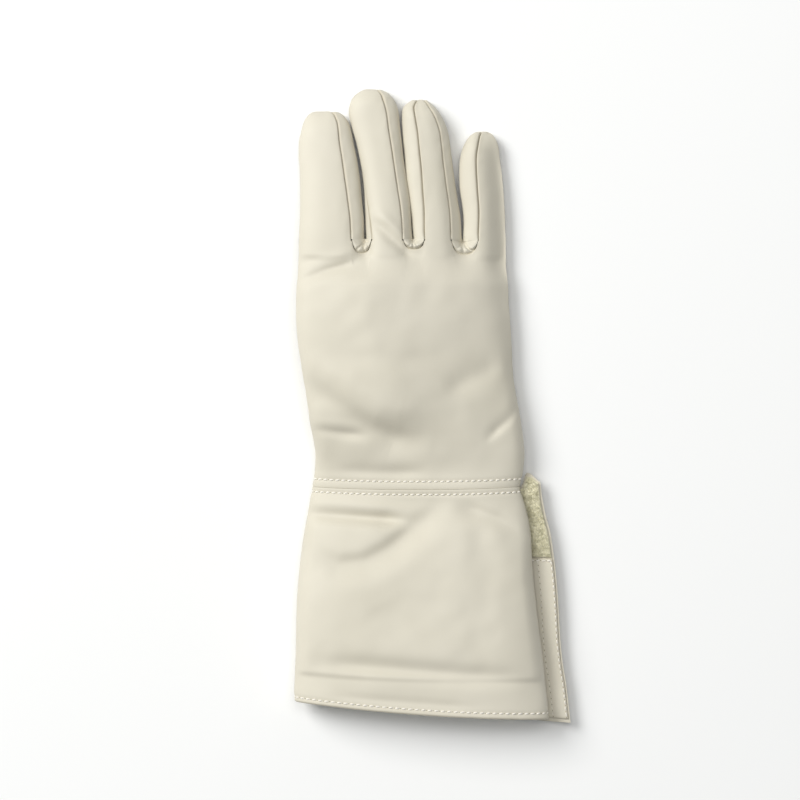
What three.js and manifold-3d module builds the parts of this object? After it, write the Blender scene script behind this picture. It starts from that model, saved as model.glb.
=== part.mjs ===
// Fencing glove for the right hand, lying palm down with its thumb folded flat under the palm.
// Millimetres, +Z up, fingertips towards +Y, the thumb side towards -X.
import * as THREE from "three";
import { mergeVertices } from "three/addons/utils/BufferGeometryUtils.js";
import Module from "manifold-3d";

const wasm = await Module();
wasm.setup();

// Driving sizes of the hand part, in millimetres
const handLength = 142.6;
const handWidth = 123.6;
const handThickness = 22;
const knuckleBlend = 27;

// Driving sizes of the fingers and the thumb
const indexLength = 75;
const middleLength = 88;
const ringLength = 82;
const littleLength = 63.5;
const fingerThickness = 17.5;
const thumbLength = 94;
const thumbWidth = 40;
const thumbThickness = 12.6;

// Driving sizes of the gauntlet cuff and its slit
const cuffLength = 124;
const cuffSlant = 10.5;
const hemBow = 2.2;
const cuffMouthWidth = 147.3;
const cuffMouthHeight = 32;
const flapReach = 12;
const flapHeight = 6.5;
const flapRise = 8;
const flapDrop = 2.4;
const tapeLength = 42;
const tapeWidth = 17;
const tapeThickness = 1.6;
const facingWall = 1.2;

// Walls, padding and clearances
const backWall = 2.2;
const backPadding = 2;
const palmWall = 1.8;
const stripWall = 1.4;
const thumbWall = 1.6;
const cuffWall = 2;
const cuffPadding = 3.2;
const seamGap = 0.35;
const floorPress = 0.9;
const wristBow = 1.6;

// Roundness of a section above and below its widest line: 2 is an ellipse, more is boxier.
const topRoundness = 2.4;
const bottomRoundness = 3;

// Angles round a section are degrees from straight up, positive towards the little finger.
const outerSeamAngle = 100;

// Hand sections from the wrist seam (0) to the crotch line (1): edges as shares of handWidth,
// height as a share of handThickness, pad as a share of backPadding.
const handSections = [
  { along: 0, left: -0.434, right: 0.537, height: 1.05, pad: 0 },
  { along: 0.07, left: -0.421, right: 0.554, height: 1.02, pad: 0.3 },
  { along: 0.15, left: -0.421, right: 0.559, height: 1, pad: 1 },
  { along: 0.27, left: -0.446, right: 0.542, height: 1, pad: 1 },
  { along: 0.36, left: -0.46, right: 0.523, height: 1, pad: 1 },
  { along: 0.47, left: -0.481, right: 0.505, height: 1, pad: 1 },
  { along: 0.6, left: -0.502, right: 0.498, height: 1, pad: 1 },
  { along: 0.75, left: -0.509, right: 0.486, height: 0.98, pad: 1 },
  { along: 0.9, left: -0.5, right: 0.479, height: 0.92, pad: 0.7 },
  { along: 1, left: -0.498, right: 0.472, height: 0.86, pad: 0 },
];

// How far the hand is raised over the folded thumb, as a share of the thumb's height. The places
// along are shares of handLength from the wrist seam, and run on past the crotch into the fingers.
const thumbLifts = [
  { along: 0, rise: 0 },
  { along: 0.07, rise: 0.08 },
  { along: 0.2, rise: 0.55 },
  { along: 0.33, rise: 1 },
  { along: 0.76, rise: 1 },
  { along: 1, rise: 0.84 },
  { along: 1.2, rise: 0.5 },
  { along: 1.38, rise: 0.18 },
  { along: 1.54, rise: 0 },
];

// Fingers: seam angles in degrees at the root and from mid length on, sections along the finger
// from the crotch line (0) to the tip (1) with edges as shares of handWidth and height as a share
// of fingerThickness.
const fingers = [
  {
    name: "index",
    length: indexLength,
    seams: {
      backLeft: { root: -outerSeamAngle, middle: -outerSeamAngle },
      backRight: { root: 56, middle: 36 },
      palmRight: { root: 132, middle: 132 },
      palmLeft: { root: -outerSeamAngle, middle: -outerSeamAngle },
    },
    sections: [
      { along: 0, left: -0.498, right: -0.21, height: 1.06 },
      { along: 0.25, left: -0.491, right: -0.217, height: 1.02 },
      { along: 0.5, left: -0.493, right: -0.229, height: 0.98 },
      { along: 0.75, left: -0.498, right: -0.243, height: 0.94 },
      { along: 0.9, left: -0.479, right: -0.257, height: 0.9 },
      { along: 0.97, left: -0.456, right: -0.287, height: 0.86 },
      { along: 1, left: -0.43, right: -0.322, height: 0.84 },
    ],
  },
  {
    name: "middle",
    length: middleLength,
    seams: {
      backLeft: { root: -52, middle: -60 },
      backRight: { root: 34, middle: 30 },
      palmRight: { root: 138, middle: 138 },
      palmLeft: { root: -138, middle: -138 },
    },
    sections: [
      { along: 0, left: -0.18, right: 0.019, height: 1.06 },
      { along: 0.2, left: -0.203, right: 0.016, height: 1.04 },
      { along: 0.4, left: -0.21, right: 0, height: 1 },
      { along: 0.6, left: -0.222, right: -0.014, height: 0.98 },
      { along: 0.75, left: -0.241, right: -0.026, height: 0.94 },
      { along: 0.85, left: -0.259, right: -0.033, height: 0.92 },
      { along: 0.93, left: -0.248, right: -0.056, height: 0.9 },
      { along: 0.975, left: -0.217, right: -0.084, height: 0.86 },
      { along: 1, left: -0.189, right: -0.117, height: 0.84 },
    ],
  },
  {
    name: "ring",
    length: ringLength,
    seams: {
      backLeft: { root: -24, middle: -22 },
      backRight: { root: 26, middle: 31 },
      palmRight: { root: 136, middle: 136 },
      palmLeft: { root: -132, middle: -132 },
    },
    sections: [
      { along: 0, left: 0.054, right: 0.252, height: 1.06 },
      { along: 0.2, left: 0.028, right: 0.257, height: 1.02 },
      { along: 0.4, left: 0.011, right: 0.234, height: 0.98 },
      { along: 0.6, left: -0.003, right: 0.215, height: 0.94 },
      { along: 0.77, left: -0.013, right: 0.201, height: 0.92 },
      { along: 0.87, left: -0.016, right: 0.175, height: 0.9 },
      { along: 0.95, left: -0.007, right: 0.138, height: 0.86 },
      { along: 1, left: 0.037, right: 0.098, height: 0.84 },
    ],
  },
  {
    name: "little",
    length: littleLength,
    seams: {
      backLeft: { root: -24, middle: -11 },
      backRight: { root: outerSeamAngle, middle: outerSeamAngle },
      palmRight: { root: outerSeamAngle, middle: outerSeamAngle },
      palmLeft: { root: -128, middle: -124 },
    },
    sections: [
      { along: 0, left: 0.287, right: 0.472, height: 1 },
      { along: 0.25, left: 0.273, right: 0.467, height: 0.98 },
      { along: 0.5, left: 0.255, right: 0.459, height: 0.94 },
      { along: 0.75, left: 0.257, right: 0.444, height: 0.9 },
      { along: 0.88, left: 0.278, right: 0.435, height: 0.86 },
      { along: 0.96, left: 0.306, right: 0.414, height: 0.82 },
      { along: 1, left: 0.339, right: 0.388, height: 0.8 },
    ],
  },
];

// Gauntlet sections from the wrist seam (0) to the hem (1): how much of the flare each side has
// reached, how much of the rise in height, the padding's and the flap's shares, and the angle at
// which the back panel ends beside the slit.
const cuffSections = [
  { along: 0, leftFlare: 0, rightFlare: 0, rise: 0, pad: 0, flap: 1, slitAngle: 97 },
  { along: 0.045, leftFlare: 0.08, rightFlare: 0.1, rise: 0.02, pad: 0, flap: 0.95, slitAngle: 97 },
  { along: 0.12, leftFlare: 0.23, rightFlare: 0.27, rise: 0.12, pad: 0.35, flap: 0.88, slitAngle: 98 },
  { along: 0.2, leftFlare: 0.41, rightFlare: 0.38, rise: 0.26, pad: 0.8, flap: 0.96, slitAngle: 99 },
  { along: 0.35, leftFlare: 0.68, rightFlare: 0.45, rise: 0.46, pad: 1, flap: 1.1, slitAngle: 101 },
  { along: 0.5, leftFlare: 0.83, rightFlare: 0.55, rise: 0.63, pad: 1, flap: 1.1, slitAngle: 103 },
  { along: 0.65, leftFlare: 0.87, rightFlare: 0.69, rise: 0.78, pad: 1, flap: 1, slitAngle: 105 },
  { along: 0.76, leftFlare: 0.91, rightFlare: 0.8, rise: 0.87, pad: 0.85, flap: 0.98, slitAngle: 106 },
  { along: 0.83, leftFlare: 0.94, rightFlare: 0.87, rise: 0.92, pad: 0.1, flap: 1.02, slitAngle: 107 },
  { along: 1, leftFlare: 1, rightFlare: 1, rise: 1, pad: 0, flap: 1.06, slitAngle: 108 },
];

// Share of cuffMouthWidth that lies on the thumb side of the glove's centre line.
const mouthLeftShare = 0.435;

// Dents and folds of the back, each a soft valley along a line. Places across are shares of
// handWidth, places along are shares of handLength (of cuffLength where negative), reach is a
// share of handWidth and depth a share of backPadding.
const dents = [
  { fromAcross: -0.41, fromAlong: 0.665, toAcross: -0.29, toAlong: 0.69, reach: 0.035, depth: 0.7 },
  { fromAcross: -0.4, fromAlong: 0.385, toAcross: -0.17, toAlong: 0.255, reach: 0.06, depth: 1.5 },
  { fromAcross: -0.17, fromAlong: 0.255, toAcross: 0.08, toAlong: 0.17, reach: 0.05, depth: 1.1 },
  { fromAcross: 0.42, fromAlong: 0.48, toAcross: 0.22, toAlong: 0.4, reach: 0.05, depth: 0.7 },
  { fromAcross: 0.51, fromAlong: 0.3, toAcross: 0.45, toAlong: 0.24, reach: 0.035, depth: 0.9 },
  { fromAcross: -0.16, fromAlong: 1.05, toAcross: -0.05, toAlong: 1, reach: 0.03, depth: 0.8 },
  { fromAcross: -0.4, fromAlong: -0.09, toAcross: -0.02, toAlong: -0.12, reach: 0.045, depth: 0.9 },
  { fromAcross: 0.13, fromAlong: -0.11, toAcross: -0.08, toAlong: -0.29, reach: 0.055, depth: 1.1 },
  { fromAcross: -0.08, fromAlong: -0.29, toAcross: -0.36, toAlong: -0.33, reach: 0.05, depth: 0.9 },
  { fromAcross: 0.32, fromAlong: -0.11, toAcross: 0.5, toAlong: -0.21, reach: 0.05, depth: 0.9 },
];

// Folded thumb from its root under the palm (0) to its tip (1): centre as a share of handWidth,
// width and height as shares of thumbWidth and thumbThickness.
const thumbStart = 0.11;
const thumbSections = [
  { along: 0, centre: -0.222, width: 1, height: 1 },
  { along: 0.25, centre: -0.222, width: 0.98, height: 1 },
  { along: 0.5, centre: -0.215, width: 0.86, height: 1 },
  { along: 0.75, centre: -0.19, width: 0.76, height: 0.98 },
  { along: 0.9, centre: -0.175, width: 0.66, height: 0.94 },
  { along: 0.97, centre: -0.168, width: 0.5, height: 0.9 },
  { along: 1, centre: -0.165, width: 0.3, height: 0.88 },
];

// Places of the rows and columns of each sheet, as shares.
const handRows = [
  0, 0.05, 0.1, 0.15, 0.2, 0.26, 0.32, 0.385, 0.45, 0.53, 0.61, 0.69, 0.76, 0.82, 0.87, 0.92, 0.96, 1,
];
const palmRows = [0, 0.05, 0.1, 0.2, 0.32, 0.45, 0.61, 0.76, 0.87, 0.96, 1];
const fingerRows = [0, 0.1, 0.22, 0.35, 0.48, 0.61, 0.74, 0.84, 0.91, 0.955, 0.985, 1];
const cuffRows = [0, 0.045, 0.09, 0.14, 0.2, 0.27, 0.35, 0.44, 0.53, 0.62, 0.7, 0.76, 0.8, 0.84, 0.92, 1];
const cuffPalmRows = [0, 0.045, 0.12, 0.22, 0.34, 0.48, 0.62, 0.76, 0.88, 1];

// Numbers of cells across each sheet
const backCounts = [8, 6, 6, 6];
const palmCounts = [6, 4, 4, 5];
const stripColumns = 4;
const stripRows = 5;
const quirkRows = 6;
const quirkColumns = 4;
const cuffColumns = 22;
const undersideColumns = 12;
const flapColumns = [0.2, 0.4, 0.58, 0.72, 0.84, 0.93, 1];
const thumbSides = 16;
const thumbRows = [0, 0.12, 0.25, 0.4, 0.55, 0.7, 0.82, 0.91, 0.955, 0.985, 1];
const coverRows = 14;
const coverColumns = 12;

// Padding covers the top between these angles, fading out from the first to the second, and the
// wrist seam's bow fades out over the first share of the hand's or the cuff's length.
const paddingFullAngle = 60;
const paddingEndAngle = 88;
const bowReach = 0.2;

// Share of handWidth over which the raise over the thumb fades out towards the little finger
const liftReach = 0.46;

// Crotches and fingertips: roundings are shares of a finger's thickness, drops of its half height.
const crotchDepth = 1.4;
const tipRounding = 0.62;
const tipDropShare = 0.12;
const seamSettle = 0.3;

// Thumb: rounding of its tip as a share of its thickness, how flat the tip's end stays, where its
// hollow starts, and its clearance under the palm
const thumbTipRounding = 0.6;
const thumbTipFullness = 0.9;
const thumbHollowStart = -0.04;
const thumbClearance = 0.5;
const coverSpread = 0.7;
const coverWidthShare = 1.6;
const coverLengthShare = 0.6;
const coverHeight = 3 * handThickness;

// Flap: root angle under the cuff, how its upward curl sets in, and its corner beside the wrist
const flapRootAngle = 145;
const flapCurl = 1.6;
const flapCorner = 0.045;
const flapCornerFrom = 0.35;
const flapCornerTo = 0.7;
const cuffSeamGapAngle = 1;

// Strips laid on the flap and inside the back: places along are shares of the cuff's length.
const tapeStart = 0.01;
const tapeEnd = tapeStart + tapeLength / (cuffLength + cuffSlant);
const tapeMargin = 1.5;
const hookFromAngle = 55;
const hookToAngle = 92;
const facingStart = tapeEnd + 0.01;
const facingEnd = 0.985;
const facingWidth = 15;
const facingMargin = 1;

// Points closer than this are one point.
const mergeDistance = 1e-4;

// Surface finishes
const leather = { color: "#e6decb", roughness: 0.6, metalness: 0 };
const tape = { color: "#cac8af", roughness: 0.9, metalness: 0 };

const radians = Math.PI / 180;

// Straight blend from one number to another.
function mix(from, to, share) {
  return from + (to - from) * share;
}

// Soft step from 0 to 1 between two edges.
function softStep(low, high, value) {
  const share = Math.min(Math.max((value - low) / (high - low), 0), 1);
  return share * share * (3 - 2 * share);
}

// Smooth curve through one named column of a table, read at a place along it.
function curveAt(rows, column, along) {
  const last = rows.length - 1;
  const place = Math.min(Math.max(along, rows[0].along), rows[last].along);
  let i = 0;
  while (i < last - 1 && rows[i + 1].along < place) i += 1;
  const slopeAt = (k) => {
    const before = rows[Math.max(k - 1, 0)];
    const after = rows[Math.min(k + 1, last)];
    return (after[column] - before[column]) / (after.along - before.along);
  };
  const span = rows[i + 1].along - rows[i].along;
  const t = (place - rows[i].along) / span;
  const rise = rows[i + 1][column] - rows[i][column];
  const bend = t * (1 - t);
  const pull = (slopeAt(i) * span - rise) * (1 - t) - (slopeAt(i + 1) * span - rise) * t;
  return rows[i][column] + rise * t + bend * pull;
}

// A power that keeps the sign of its base.
function signedPower(base, power) {
  return Math.sign(base) * Math.abs(base) ** power;
}

// Point of a rounded section at an angle in degrees from straight up, round its own centre.
function sectionPoint(angle, halfWidth, halfHeight) {
  const roundness = Math.abs(angle) <= 90 ? topRoundness : bottomRoundness;
  const x = halfWidth * signedPower(Math.sin(angle * radians), 2 / roundness);
  const z = halfHeight * signedPower(Math.cos(angle * radians), 2 / roundness);
  return { x, z };
}

// Height that the folded thumb gives the glove at a place on the floor.
function liftAt(x, y) {
  const across = 1 - softStep(0, liftReach * handWidth, x);
  return (thumbThickness + 2 * seamGap) * curveAt(thumbLifts, "rise", y / handLength) * across;
}

// Depth of all dents at a place on the back.
function dentAt(x, y) {
  const along = y < 0 ? y / cuffLength : y / handLength;
  const scale = (y < 0 ? cuffLength : handLength) / handWidth;
  let depth = 0;
  for (const dent of dents) {
    const dx = dent.toAcross - dent.fromAcross;
    const dy = (dent.toAlong - dent.fromAlong) * scale;
    const px = x / handWidth - dent.fromAcross;
    const py = (along - dent.fromAlong) * scale;
    const share = Math.min(Math.max((px * dx + py * dy) / (dx * dx + dy * dy), 0), 1);
    const away = Math.hypot(px - share * dx, py - share * dy) / dent.reach;
    depth += dent.depth * Math.exp(-away * away);
  }
  return depth * backPadding;
}

// How much of the padding there is at an angle: all over the top, none at the sides.
function topCover(angle) {
  return softStep(paddingEndAngle, paddingFullAngle, Math.abs(angle));
}

// How far the wrist seam's bow moves a point of the top back towards the cuff.
function bowAt(angle, along) {
  return wristBow * softStep(bowReach, 0, along) * softStep(90, 0, Math.abs(angle));
}

// Point of the hand at an angle and a place along it, set in from the outer face.
function handPoint(angle, y, inset, padding) {
  const along = y / handLength;
  const left = handWidth * curveAt(handSections, "left", along);
  const right = handWidth * curveAt(handSections, "right", along);
  const halfHeight = (handThickness * curveAt(handSections, "height", along)) / 2;
  const p = sectionPoint(angle, (right - left) / 2 - inset, halfHeight - inset);
  const x = (left + right) / 2 + p.x;
  const raised = topCover(angle) * (padding * curveAt(handSections, "pad", along) - dentAt(x, y));
  const z = Math.max(halfHeight - floorPress + p.z + liftAt(x, y), inset);
  return new THREE.Vector3(x, y - bowAt(angle, along), z + raised);
}

// Point of a finger at an angle and a share of its length, set in from the outer face.
function fingerPoint(finger, angle, along, inset) {
  const left = handWidth * curveAt(finger.sections, "left", along);
  const right = handWidth * curveAt(finger.sections, "right", along);
  const halfHeight = (fingerThickness * curveAt(finger.sections, "height", along)) / 2;
  const tipStart = 1 - (tipRounding * fingerThickness) / finger.length;
  const past = Math.max((along - tipStart) / (1 - tipStart), 0);
  const rounded = halfHeight * Math.sqrt(Math.max(1 - past * past, 0));
  const y = handLength + (finger.length - inset) * along;
  const p = sectionPoint(angle, (right - left) / 2 - inset, Math.max(rounded - inset, seamGap / 2));
  const x = (left + right) / 2 + p.x;
  const tipDrop = tipDropShare * halfHeight * past;
  const z = Math.max(halfHeight - floorPress - tipDrop + p.z + liftAt(x, y), inset);
  return new THREE.Vector3(x, y, z - topCover(angle) * dentAt(x, y));
}

// Angle of a finger's seam at a share of its length.
function seamAngle(finger, seam, along) {
  return mix(finger.seams[seam].root, finger.seams[seam].middle, softStep(0, seamSettle, along));
}

// Degrees round a finger that make up half a seam's gap.
function halfGapAngle(finger, angle, along) {
  const step = 2;
  const a = fingerPoint(finger, angle - step, along, 0);
  const b = fingerPoint(finger, angle + step, along, 0);
  return (step * seamGap) / Math.max(a.distanceTo(b), seamGap / 2);
}

// One closed body from a sheet of cells. pointAt(row, column) gives the outer and the inner point,
// isCloth(row, column) says whether the cell that starts there is part of the sheet.
function sheetSolid(rowCount, columnCount, pointAt, isCloth = () => true, flip = false) {
  const positions = [];
  const faces = [];
  const width = columnCount + 1;
  for (let r = 0; r <= rowCount; r += 1) {
    for (let c = 0; c <= columnCount; c += 1) {
      const { outer, inner } = pointAt(r, c);
      positions.push(outer.x, outer.y, outer.z, inner.x, inner.y, inner.z);
    }
  }
  const vertex = (r, c, side) => 2 * (r * width + c) + side;
  const inSheet = (r, c) => r >= 0 && c >= 0 && r < rowCount && c < columnCount && isCloth(r, c);
  const quad = (a, b, c, d) => {
    if (flip) faces.push(a, c, b, a, d, c);
    else faces.push(a, b, c, a, c, d);
  };
  const wall = (r0, c0, r1, c1) => {
    quad(vertex(r1, c1, 0), vertex(r0, c0, 0), vertex(r0, c0, 1), vertex(r1, c1, 1));
  };
  for (let r = 0; r < rowCount; r += 1) {
    for (let c = 0; c < columnCount; c += 1) {
      if (!inSheet(r, c)) continue;
      quad(vertex(r, c, 0), vertex(r, c + 1, 0), vertex(r + 1, c + 1, 0), vertex(r + 1, c, 0));
      quad(vertex(r, c, 1), vertex(r + 1, c, 1), vertex(r + 1, c + 1, 1), vertex(r, c + 1, 1));
      if (!inSheet(r - 1, c)) wall(r, c, r, c + 1);
      if (!inSheet(r, c + 1)) wall(r, c + 1, r + 1, c + 1);
      if (!inSheet(r + 1, c)) wall(r + 1, c + 1, r + 1, c);
      if (!inSheet(r, c - 1)) wall(r + 1, c, r, c);
    }
  }
  const geometry = new THREE.BufferGeometry();
  geometry.setAttribute("position", new THREE.Float32BufferAttribute(positions, 3));
  geometry.setIndex(faces);
  return mergeVertices(geometry.toNonIndexed(), mergeDistance);
}

// Angles of a sheet are measured from its own middle line: the top for a back panel, the underside
// for a palm panel. This turns one into an angle from straight up, and back again.
function turnAngle(side, angle) {
  if (side === "back") return angle;
  return (angle < 0 ? -1 : 1) * (180 - Math.abs(angle));
}

// Columns of the comb-shaped back or palm: every finger's own columns with two between fingers.
function combColumns(side, counts) {
  const columns = [];
  fingers.forEach((finger, f) => {
    if (f > 0) {
      columns.push({ side, between: f, share: 1 / 3 });
      columns.push({ side, between: f, share: 2 / 3 });
    }
    for (let k = 0; k <= counts[f]; k += 1) columns.push({ side, finger: f, share: k / counts[f] });
  });
  return columns;
}

// Angle of a finger column, from its sheet's middle line, at a share of the finger's length.
function combAngle(column, along) {
  const finger = fingers[column.finger];
  const left = seamAngle(finger, column.side + "Left", along);
  const right = seamAngle(finger, column.side + "Right", along);
  const from = turnAngle(column.side, left) + halfGapAngle(finger, left, along);
  const to = turnAngle(column.side, right) - halfGapAngle(finger, right, along);
  return mix(from, to, column.share);
}

// Point of a finger column at a share of the finger's length.
function fingerColumnPoint(column, along, inset) {
  const angle = turnAngle(column.side, combAngle(column, along));
  return fingerPoint(fingers[column.finger], angle, along, inset);
}

// Point of any comb column on the crotch line, which dips back between two fingers.
function rootPoint(column, inset) {
  if (column.finger !== undefined) return fingerColumnPoint(column, 0, inset);
  const before = rootPoint({ side: column.side, finger: column.between - 1, share: 1 }, inset);
  const after = rootPoint({ side: column.side, finger: column.between, share: 0 }, inset);
  const point = before.lerp(after, column.share);
  point.y -= crotchDip(column.share);
  return point;
}

// How far the crotch line dips at a share of the way between two fingers.
function crotchDip(share) {
  return 4 * crotchDepth * share * (1 - share);
}

// Angle at which a comb column runs along the hand, so that it meets its place on the crotch line.
function handAngle(column) {
  const edges = handSections.at(-1);
  const roundness = column.side === "back" ? topRoundness : bottomRoundness;
  const angleAcross = (x) => {
    const share = (2 * x / handWidth - edges.left - edges.right) / (edges.right - edges.left);
    return Math.asin(signedPower(Math.min(Math.max(share, -1), 1), roundness / 2)) / radians;
  };
  const own = angleAcross(rootPoint(column, 0).x);
  if (column.finger === undefined) return turnAngle(column.side, own);
  const local = combAngle(column, 0);
  const outward = column.finger === 0 ? -1 : 1;
  const isOuter = (column.finger === 0 || column.finger === fingers.length - 1) && local * outward > 0;
  if (!isOuter) return turnAngle(column.side, own);
  const edge = combAngle({ ...column, share: outward < 0 ? 0 : 1 }, 0);
  const middle = angleAcross(fingerPoint(fingers[column.finger], turnAngle(column.side, 0), 0, 0).x);
  return turnAngle(column.side, mix(middle, edge, local / edge));
}

// Back or palm of the hand with its four finger panels: a comb-shaped sheet.
function combSheet(side, rows, counts, wall, padding) {
  const columns = combColumns(side, counts);
  const angles = columns.map(handAngle);
  const crotchRow = rows.length - 1;
  const place = (r, c, inset, pad) => {
    const column = columns[c];
    if (r > crotchRow && column.finger === undefined) return rootPoint(column, inset);
    if (r > crotchRow) return fingerColumnPoint(column, fingerRows[r - crotchRow], inset);
    const y = Math.max(handLength * rows[r], seamGap / 2);
    const root = rootPoint(column, inset);
    const share = softStep(handLength - knuckleBlend, handLength, y);
    root.y += y - handLength;
    return handPoint(angles[c], y, inset, pad).lerp(root, share);
  };
  const pointAt = (r, c) => ({ outer: place(r, c, 0, padding), inner: place(r, c, wall, 0) });
  const isFinger = (c) => columns[c].finger !== undefined && columns[c].finger === columns[c + 1].finger;
  const isCloth = (r, c) => r < crotchRow || isFinger(c);
  const rowCount = crotchRow + fingerRows.length - 1;
  return sheetSolid(rowCount, columns.length - 1, pointAt, isCloth, side === "palm");
}

// Strip down one side of a finger, between its back and its palm panel.
function fourchette(finger, side) {
  const outward = side === "Right" ? 1 : -1;
  const rows = fingerRows.slice(0, -1);
  const place = (r, c, inset) => {
    const along = Math.max(rows[r], seamGap / finger.length);
    const top = seamAngle(finger, "back" + side, along);
    const bottom = seamAngle(finger, "palm" + side, along);
    const from = top + outward * halfGapAngle(finger, top, along);
    const to = bottom - outward * halfGapAngle(finger, bottom, along);
    return fingerPoint(finger, mix(from, to, c / stripColumns), along, inset);
  };
  const pointAt = (r, c) => ({ outer: place(r, c, 0), inner: place(r, c, stripWall) });
  return sheetSolid(rows.length - 1, stripColumns, pointAt, () => true, side === "Left");
}

// Small web that closes the crotch between two fingers, in front of the back's and palm's edges.
function quirk(before, after) {
  const place = (r, c, forward) => {
    const down = r / quirkRows;
    const across = c / quirkColumns;
    const angle = (finger, side) => {
      const top = seamAngle(finger, "back" + side, 0);
      return mix(top, seamAngle(finger, "palm" + side, 0), down);
    };
    const left = fingerPoint(before, angle(before, "Right"), 0, 0);
    const right = fingerPoint(after, angle(after, "Left"), 0, 0);
    left.x += 2 * seamGap;
    right.x -= 2 * seamGap;
    const point = left.lerp(right, across);
    point.y += seamGap + forward - crotchDip(across);
    return point;
  };
  const pointAt = (r, c) => ({ outer: place(r, c, stripWall), inner: place(r, c, 0) });
  return sheetSolid(quirkRows, quirkColumns, pointAt);
}

// Sizes of the gauntlet at a share of its length: side edges, half height and the flap's edge.
function cuffSize(along) {
  const wrist = handSections[0];
  const leftFlare = curveAt(cuffSections, "leftFlare", along);
  const rightFlare = curveAt(cuffSections, "rightFlare", along);
  const rise = curveAt(cuffSections, "rise", along);
  const left = mix(wrist.left * handWidth, -mouthLeftShare * cuffMouthWidth, leftFlare);
  const right = mix(wrist.right * handWidth, (1 - mouthLeftShare) * cuffMouthWidth, rightFlare);
  const halfHeight = mix(wrist.height * handThickness, cuffMouthHeight, rise) / 2;
  const flapEdge = right + flapReach * curveAt(cuffSections, "flap", along);
  return { left, right, halfHeight, flapEdge };
}

// Place along the glove of a point of the gauntlet: the hem slants down to the little finger side
// and bows out in the middle.
function cuffPlace(size, x, along) {
  const across = Math.min(Math.max((x - size.left) / (size.right - size.left), 0), 1);
  return -along * (cuffLength + cuffSlant * across + 4 * hemBow * across * (1 - across));
}

// Point of the gauntlet at an angle and a share of its length, set in from the outer face.
function cuffPoint(angle, along, inset, padding) {
  const size = cuffSize(along);
  const p = sectionPoint(angle, (size.right - size.left) / 2 - inset, size.halfHeight - inset);
  const x = (size.left + size.right) / 2 + p.x;
  const y = cuffPlace(size, x, along);
  const raised = topCover(angle) * (padding * curveAt(cuffSections, "pad", along) - dentAt(x, y));
  const z = Math.max(size.halfHeight - floorPress + p.z, inset);
  return new THREE.Vector3(x, y - bowAt(angle, along), z + raised);
}

// Point of the flap that passes under the slit, from its root on the cuff's underside (0) to its
// free edge (1), at a height above its lower face.
function flapPoint(across, along, height) {
  const size = cuffSize(along);
  const root = cuffPoint(flapRootAngle, along, Math.min(height, cuffWall), 0);
  const x = mix(root.x, size.flapEdge, across);
  const curl = across ** flapCurl;
  const z = mix(root.z - Math.min(height, cuffWall), flapHeight, curl) + height;
  const beyond = softStep(flapCornerFrom, flapCornerTo, (x - size.right) / flapReach);
  const corner = softStep(flapCorner, 0, along) * beyond;
  const y = cuffPlace(size, x, along) - flapDrop * along * across + flapRise * corner;
  return new THREE.Vector3(x, y, z);
}

// Padded back of the gauntlet, from the thumb side seam over the top to the slit.
function gauntletBack() {
  const place = (r, c, inset, pad) => {
    const along = Math.max(cuffRows[r], seamGap / 2 / cuffLength);
    const from = -outerSeamAngle + cuffSeamGapAngle;
    const to = curveAt(cuffSections, "slitAngle", along);
    return cuffPoint(mix(from, to, c / cuffColumns), along, inset, pad);
  };
  const pointAt = (r, c) => ({ outer: place(r, c, 0, cuffPadding), inner: place(r, c, cuffWall, 0) });
  return sheetSolid(cuffRows.length - 1, cuffColumns, pointAt, () => true, true);
}

// Underside of the gauntlet with the flap that runs on under the slit.
function gauntletPalm() {
  const place = (r, c, inset) => {
    const along = Math.max(cuffPalmRows[r], seamGap / 2 / cuffLength);
    if (c > undersideColumns) return flapPoint(flapColumns[c - undersideColumns - 1], along, inset);
    const from = -outerSeamAngle - cuffSeamGapAngle;
    const angle = mix(from, flapRootAngle - 360, c / undersideColumns);
    return cuffPoint(angle < -180 ? angle + 360 : angle, along, inset, 0);
  };
  const pointAt = (r, c) => ({ outer: place(r, c, 0), inner: place(r, c, cuffWall) });
  const columnCount = undersideColumns + flapColumns.length;
  return sheetSolid(cuffPalmRows.length - 1, columnCount, pointAt);
}

// Strip laid on the upper face of the flap, between two places along and across it.
function flapStrip(start, end, width, margin, thickness) {
  const place = (r, c, height) => {
    const along = mix(start, end, r / stripRows);
    const root = flapPoint(0, along, cuffWall).x;
    const edge = flapPoint(1, along, cuffWall).x;
    const x = edge - margin - width * (1 - c / stripColumns);
    return flapPoint((x - root) / (edge - root), along, cuffWall + seamGap + height);
  };
  const pointAt = (r, c) => ({ outer: place(r, c, thickness), inner: place(r, c, 0) });
  return sheetSolid(stripRows, stripColumns, pointAt, () => true, true);
}

// Hook strip inside the back panel, beside the slit.
function hookStrip() {
  const place = (r, c, inset) => {
    const along = mix(tapeStart, tapeEnd, r / stripRows);
    return cuffPoint(mix(hookFromAngle, hookToAngle, c / stripColumns), along, inset, 0);
  };
  const inset = cuffWall + seamGap;
  const pointAt = (r, c) => ({ outer: place(r, c, inset), inner: place(r, c, inset + tapeThickness) });
  return sheetSolid(stripRows, stripColumns, pointAt, () => true, true);
}

// Closed solid from a geometry whose shared points are merged, and the way back.
function toSolid(geometry) {
  return new wasm.Manifold(new wasm.Mesh({
    numProp: 3,
    vertProperties: geometry.attributes.position.array,
    triVerts: new Uint32Array(geometry.index.array),
  }));
}

function toGeometry(solid) {
  const mesh = solid.getMesh();
  const geometry = new THREE.BufferGeometry();
  geometry.setAttribute("position", new THREE.Float32BufferAttribute(mesh.vertProperties, 3));
  geometry.setIndex(Array.from(mesh.triVerts));
  return geometry;
}

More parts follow.
